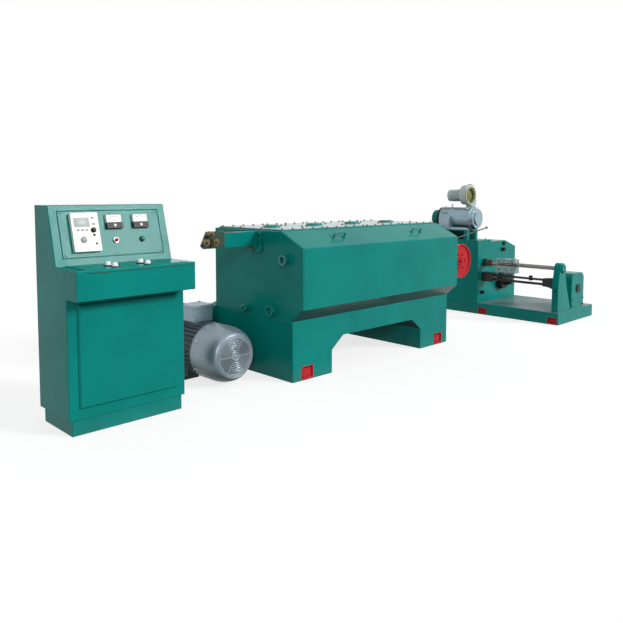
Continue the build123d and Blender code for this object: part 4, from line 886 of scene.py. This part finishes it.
covers = bmesh.new()
for degrees in (122, 150):
    for side in (-0.009, 0.009):
        rounded_box(covers, on_motor(degrees, 0.38) @ shift(side, 0, -0.001), (0.007, 0.092, 0.009), 0.002)
for degrees in (115, 155, 205, 335):
    seat = on_motor(degrees, 0.105)
    rounded_box(covers, seat, (0.062, 0.056, 0.005), 0.0018)
    for k in range(4):
        rounded_box(covers, seat @ shift(0, -0.018 + 0.012 * k, 0.0045), (0.046, 0.005, 0.003), 0.001)
hex_heads(covers, around(shaft_line, 0.098, 4, radians(45)), 0.014)
finish_piece("motor_brush_covers", covers, drive_enamel)

box_low, box_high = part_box("takeup_terminal_box")
box_lid = bmesh.new()
middle = Vector((box_low.x, (box_low.y + box_high.y) / 2, (box_low.z + box_high.z) / 2))
lid = spot_on(middle, LEFT)
lid_thickness = 0.008
rounded_box(box_lid, lid, (0.146, 0.126, lid_thickness), 0.003)
hex_heads(box_lid, [lid @ shift(x, y, lid_thickness) for x in (-0.06, 0.06) for y in (-0.05, 0.05)], 0.009)
finish_piece("takeup_box_lid", box_lid, drive_enamel)

# %% [markdown]
# The motor's stand is open towards the operator. Thin sheet webs stiffen its legs at the back and on the right,
# so the gap under the motor shows paint. The belt is tightened by a plain bright lever with a ball on its end.

# %% Stand webs and belt lever
webs = bmesh.new()
web, web_height = 0.004, 0.106
rounded_box(webs, shift(2.377, 0.4925, 0.865), (web, 0.275, web_height), 0.001)
rounded_box(webs, shift(traverse_x, 0.651, 0.865), (0.142, web, web_height), 0.001)
finish_piece("motor_stand_webs", webs, teal_enamel)

lever = bmesh.new()
rise = radians(19.5)
ball = 0.0158
stick = spot_on((2.157, 0.486, stand_top), (0, -cos(rise), sin(rise)))
turn_outline(lever, stick, [(0, 0.012), (0.0076, 0.012), (0.0076, 0.458), (0, 0.458)], 16)
half_circle = [(ball * sin(pi * k / 8), -ball * cos(pi * k / 8)) for k in range(9)]
turn_outline(lever, stick @ shift(0, 0, 0.47), half_circle, 20)
finish_piece("belt_lever", lever, ground_steel)

# %% [markdown]
# ## Blower
# Inside the blower's eye is a squirrel-cage wheel in olive primer: a dish, a rim and many small slats copied by
# a spin. A cream ring frames the eye.

# %% Blower wheel and eye ring
blower_z = 1.395
slats = 32
eye = spot_on((traverse_x, 0.340, blower_z), FRONT)
wheel = bmesh.new()
dish = [
    (0, 0.016), (0.02, 0.014), (0.04, 0.005), (0.09, 0.0), (0.0955, 0.0), (0.0955, -0.006), (0, -0.006)
]
turn_outline(wheel, eye @ shift(0, 0, -0.034), dish, 48)
wheel_rim = [(0.078, 0.0), (0.090, 0.0), (0.090, 0.004), (0.078, 0.004)]
turn_outline(wheel, eye @ shift(0, 0, -0.012), wheel_rim, 48, closed=True)
leaning = eye @ shift(0.084, 0, -0.023) @ Matrix.Rotation(radians(35), 4, "Z")
slat = leaning @ Matrix.Diagonal((0.012, 0.0016, 0.022, 1))
spin_copies(wheel, eye, slat, 2 * pi * (slats - 1) / slats, slats - 1)
finish_piece("blower_wheel", wheel, olive_enamel)

eye_ring = bmesh.new()
lip = [
    (0.0965, -0.020), (0.0965, 0.001), (0.099, 0.003), (0.108, 0.003), (0.1112, 0.0), (0.1112, -0.010),
    (0.1105, -0.010), (0.1105, -0.0005), (0.0975, -0.0005), (0.0968, -0.020),
]
turn_outline(eye_ring, eye, lip, 64)
finish_piece("blower_eye_ring", eye_ring, cream_enamel)

# %% [markdown]
# Small lugs with dark bolts hold the casing's halves together. They follow its outer rim: first round the
# volute, then straight down to the outlet.

# %% Blower lugs and bolts
flange_bolts, lugs = bmesh.new(), bmesh.new()
rim_radius = 0.130
casing = eye @ shift(0, 0, -0.012)
rim_spots = [casing @ Matrix.Rotation(radians(20 * k), 4, "Z") @ shift(rim_radius, 0) for k in range(6)]
rim_spots += [casing @ shift(rim_radius, -0.030 - 0.032 * k) for k in range(3)]
for spot in rim_spots:
    rounded_box(lugs, spot @ shift(0, 0, -0.012), (0.018, 0.014, 0.010), 0.002)
hex_heads(flange_bolts, [spot @ shift(0.002, 0, -0.002) for spot in rim_spots], 0.010)
finish_piece("blower_lugs", lugs, blower_enamel)
finish_piece("blower_flange_bolts", flange_bolts, rusty_bolt)

# %% [markdown]
# The blower's small motor has cooling ribs round its body and a domed fan cover at its end. Ribs are cast with
# the body. Here each is a small outline turned about the motor's axis, one step further along, and so is the
# dome.

# %% Blower motor ribs
fan_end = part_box("blower_motor")[1].y
ribs = bmesh.new()
motor_line = spot_on((traverse_x, fan_end, blower_z), BACK)
body_radius, rib_radius = 0.0675, 0.073
for k in range(7):
    level = -0.142 + 0.015 * k
    profile = ((body_radius, 0), (rib_radius, 0.001), (rib_radius, 0.003), (body_radius, 0.004))
    rib = [(radius, level + height) for radius, height in profile]
    turn_outline(ribs, motor_line, rib, 40, closed=True)
fan_cover = [(0.0683, -0.034), (0.0715, -0.032), (0.0715, 0.0), (0.062, 0.006), (0.02, 0.008), (0, 0.008)]
turn_outline(ribs, motor_line, fan_cover, 40)
finish_piece("blower_motor_ribs", ribs, blower_enamel)

# %% [markdown]
# ## Floor, light and camera
# The photograph is cut out on white. A wide pale floor keeps the shadow. It glows a little for rays that come
# straight from the camera or from a reflection, so that it looks as white as the background, and it lights
# nothing by that glow.

# %% White floor
def seen_directly(tree):
    """1 for rays from the camera, a reflection or a clear piece, 0 for light that falls on things."""
    rays = add_node(tree, "ShaderNodeLightPath")
    seen = rays["Is Camera Ray"]
    for kind in ("Is Glossy Ray", "Is Transmission Ray"):
        seen = add_node(tree, "ShaderNodeMath", {0: seen, 1: rays[kind]}, operation="MAXIMUM")[0]
    return seen


WHITE = linear("#FFFFFF")
floor_mesh = bmesh.new()
bmesh.ops.create_grid(floor_mesh, x_segments=1, y_segments=1, size=60, matrix=shift(0, 0, -0.001))
mesh = bpy.data.meshes.new("floor")
floor_mesh.to_mesh(mesh)
floor_mesh.free()
floor = bpy.data.objects.new("floor", mesh)
bpy.context.collection.objects.link(floor)

paper = bpy.data.materials.new("white_paper_floor")
paper.use_nodes = True
tree = paper.node_tree
tree.nodes.clear()
lift = add_node(tree, "ShaderNodeMath", {0: seen_directly(tree), 1: 0.75}, operation="MULTIPLY")[0]
matt = add_node(tree, "ShaderNodeBsdfDiffuse", {"Color": linear("#989898")})[0]
glow = add_node(tree, "ShaderNodeEmission", {"Color": WHITE, "Strength": lift})[0]
both = add_node(tree, "ShaderNodeAddShader", {0: matt, 1: glow})[0]
add_node(tree, "ShaderNodeOutputMaterial", {"Surface": both})
mesh.materials.append(paper)
print("floor ready, 120 m wide")

# %% [markdown]
# The world is white to the camera and in reflections, so that gloss paint shows pale glare on level faces, and
# half as bright as a light. A lamp from the front right gives the fronts about twice the light of the left
# sides, and a weak one from the left puts the soft shine on the fan cowl.

# %% World and lamps
world = bpy.data.worlds.new("studio")
bpy.context.scene.world = world
world.use_nodes = True
tree = world.node_tree
tree.nodes.clear()
brightness = add_node(tree, "ShaderNodeMapRange", {0: seen_directly(tree), 3: 0.5, 4: 1.0})[0]
sky = add_node(tree, "ShaderNodeBackground", {"Color": WHITE, "Strength": brightness})[0]
add_node(tree, "ShaderNodeOutputWorld", {"Surface": sky})


def lamp(name, strength, spread, towards):
    """A distant lamp; spread is how wide it looks, in degrees, and towards points from the object to it."""
    light = bpy.data.lights.new(name, "SUN")
    light.energy, light.angle = strength, radians(spread)
    holder = bpy.data.objects.new(name, light)
    holder.rotation_euler = Vector(towards).to_track_quat("Z", "Y").to_euler()
    bpy.context.collection.objects.link(holder)
    print(name, "lamp:", strength, "from", towards)


lamp("key", 2.1, 14, (0.45, -0.78, 0.43))
lamp("fill", 0.5, 10, (-0.62, -0.70, 0.35))

# %% [markdown]
# The camera was solved from the photograph's vanishing points: it stands left of the console at 1.4 m, looks
# along the line at 44 degrees, and its frame is shifted down a little, because the object sits high in the
# picture. Moving a camera by eye could come close, but the solved one lets edges be compared.

# %% Camera
optics = bpy.data.cameras.new("view")
optics.lens, optics.sensor_width, optics.shift_y = 37.68, 36, -0.1116
tilt_down, heading = 4.12, -44.23
camera = bpy.data.objects.new("view", optics)
camera.location = (-4.584, -3.962, 1.4)
camera.rotation_euler = (radians(90 - tilt_down), 0, radians(heading))
bpy.context.collection.objects.link(camera)
bpy.context.scene.camera = camera
bpy.context.scene.view_settings.view_transform = "Standard"
print("camera at", tuple(round(c, 3) for c in camera.location), "with a lens of", round(optics.lens, 2), "mm")

# %% [markdown]
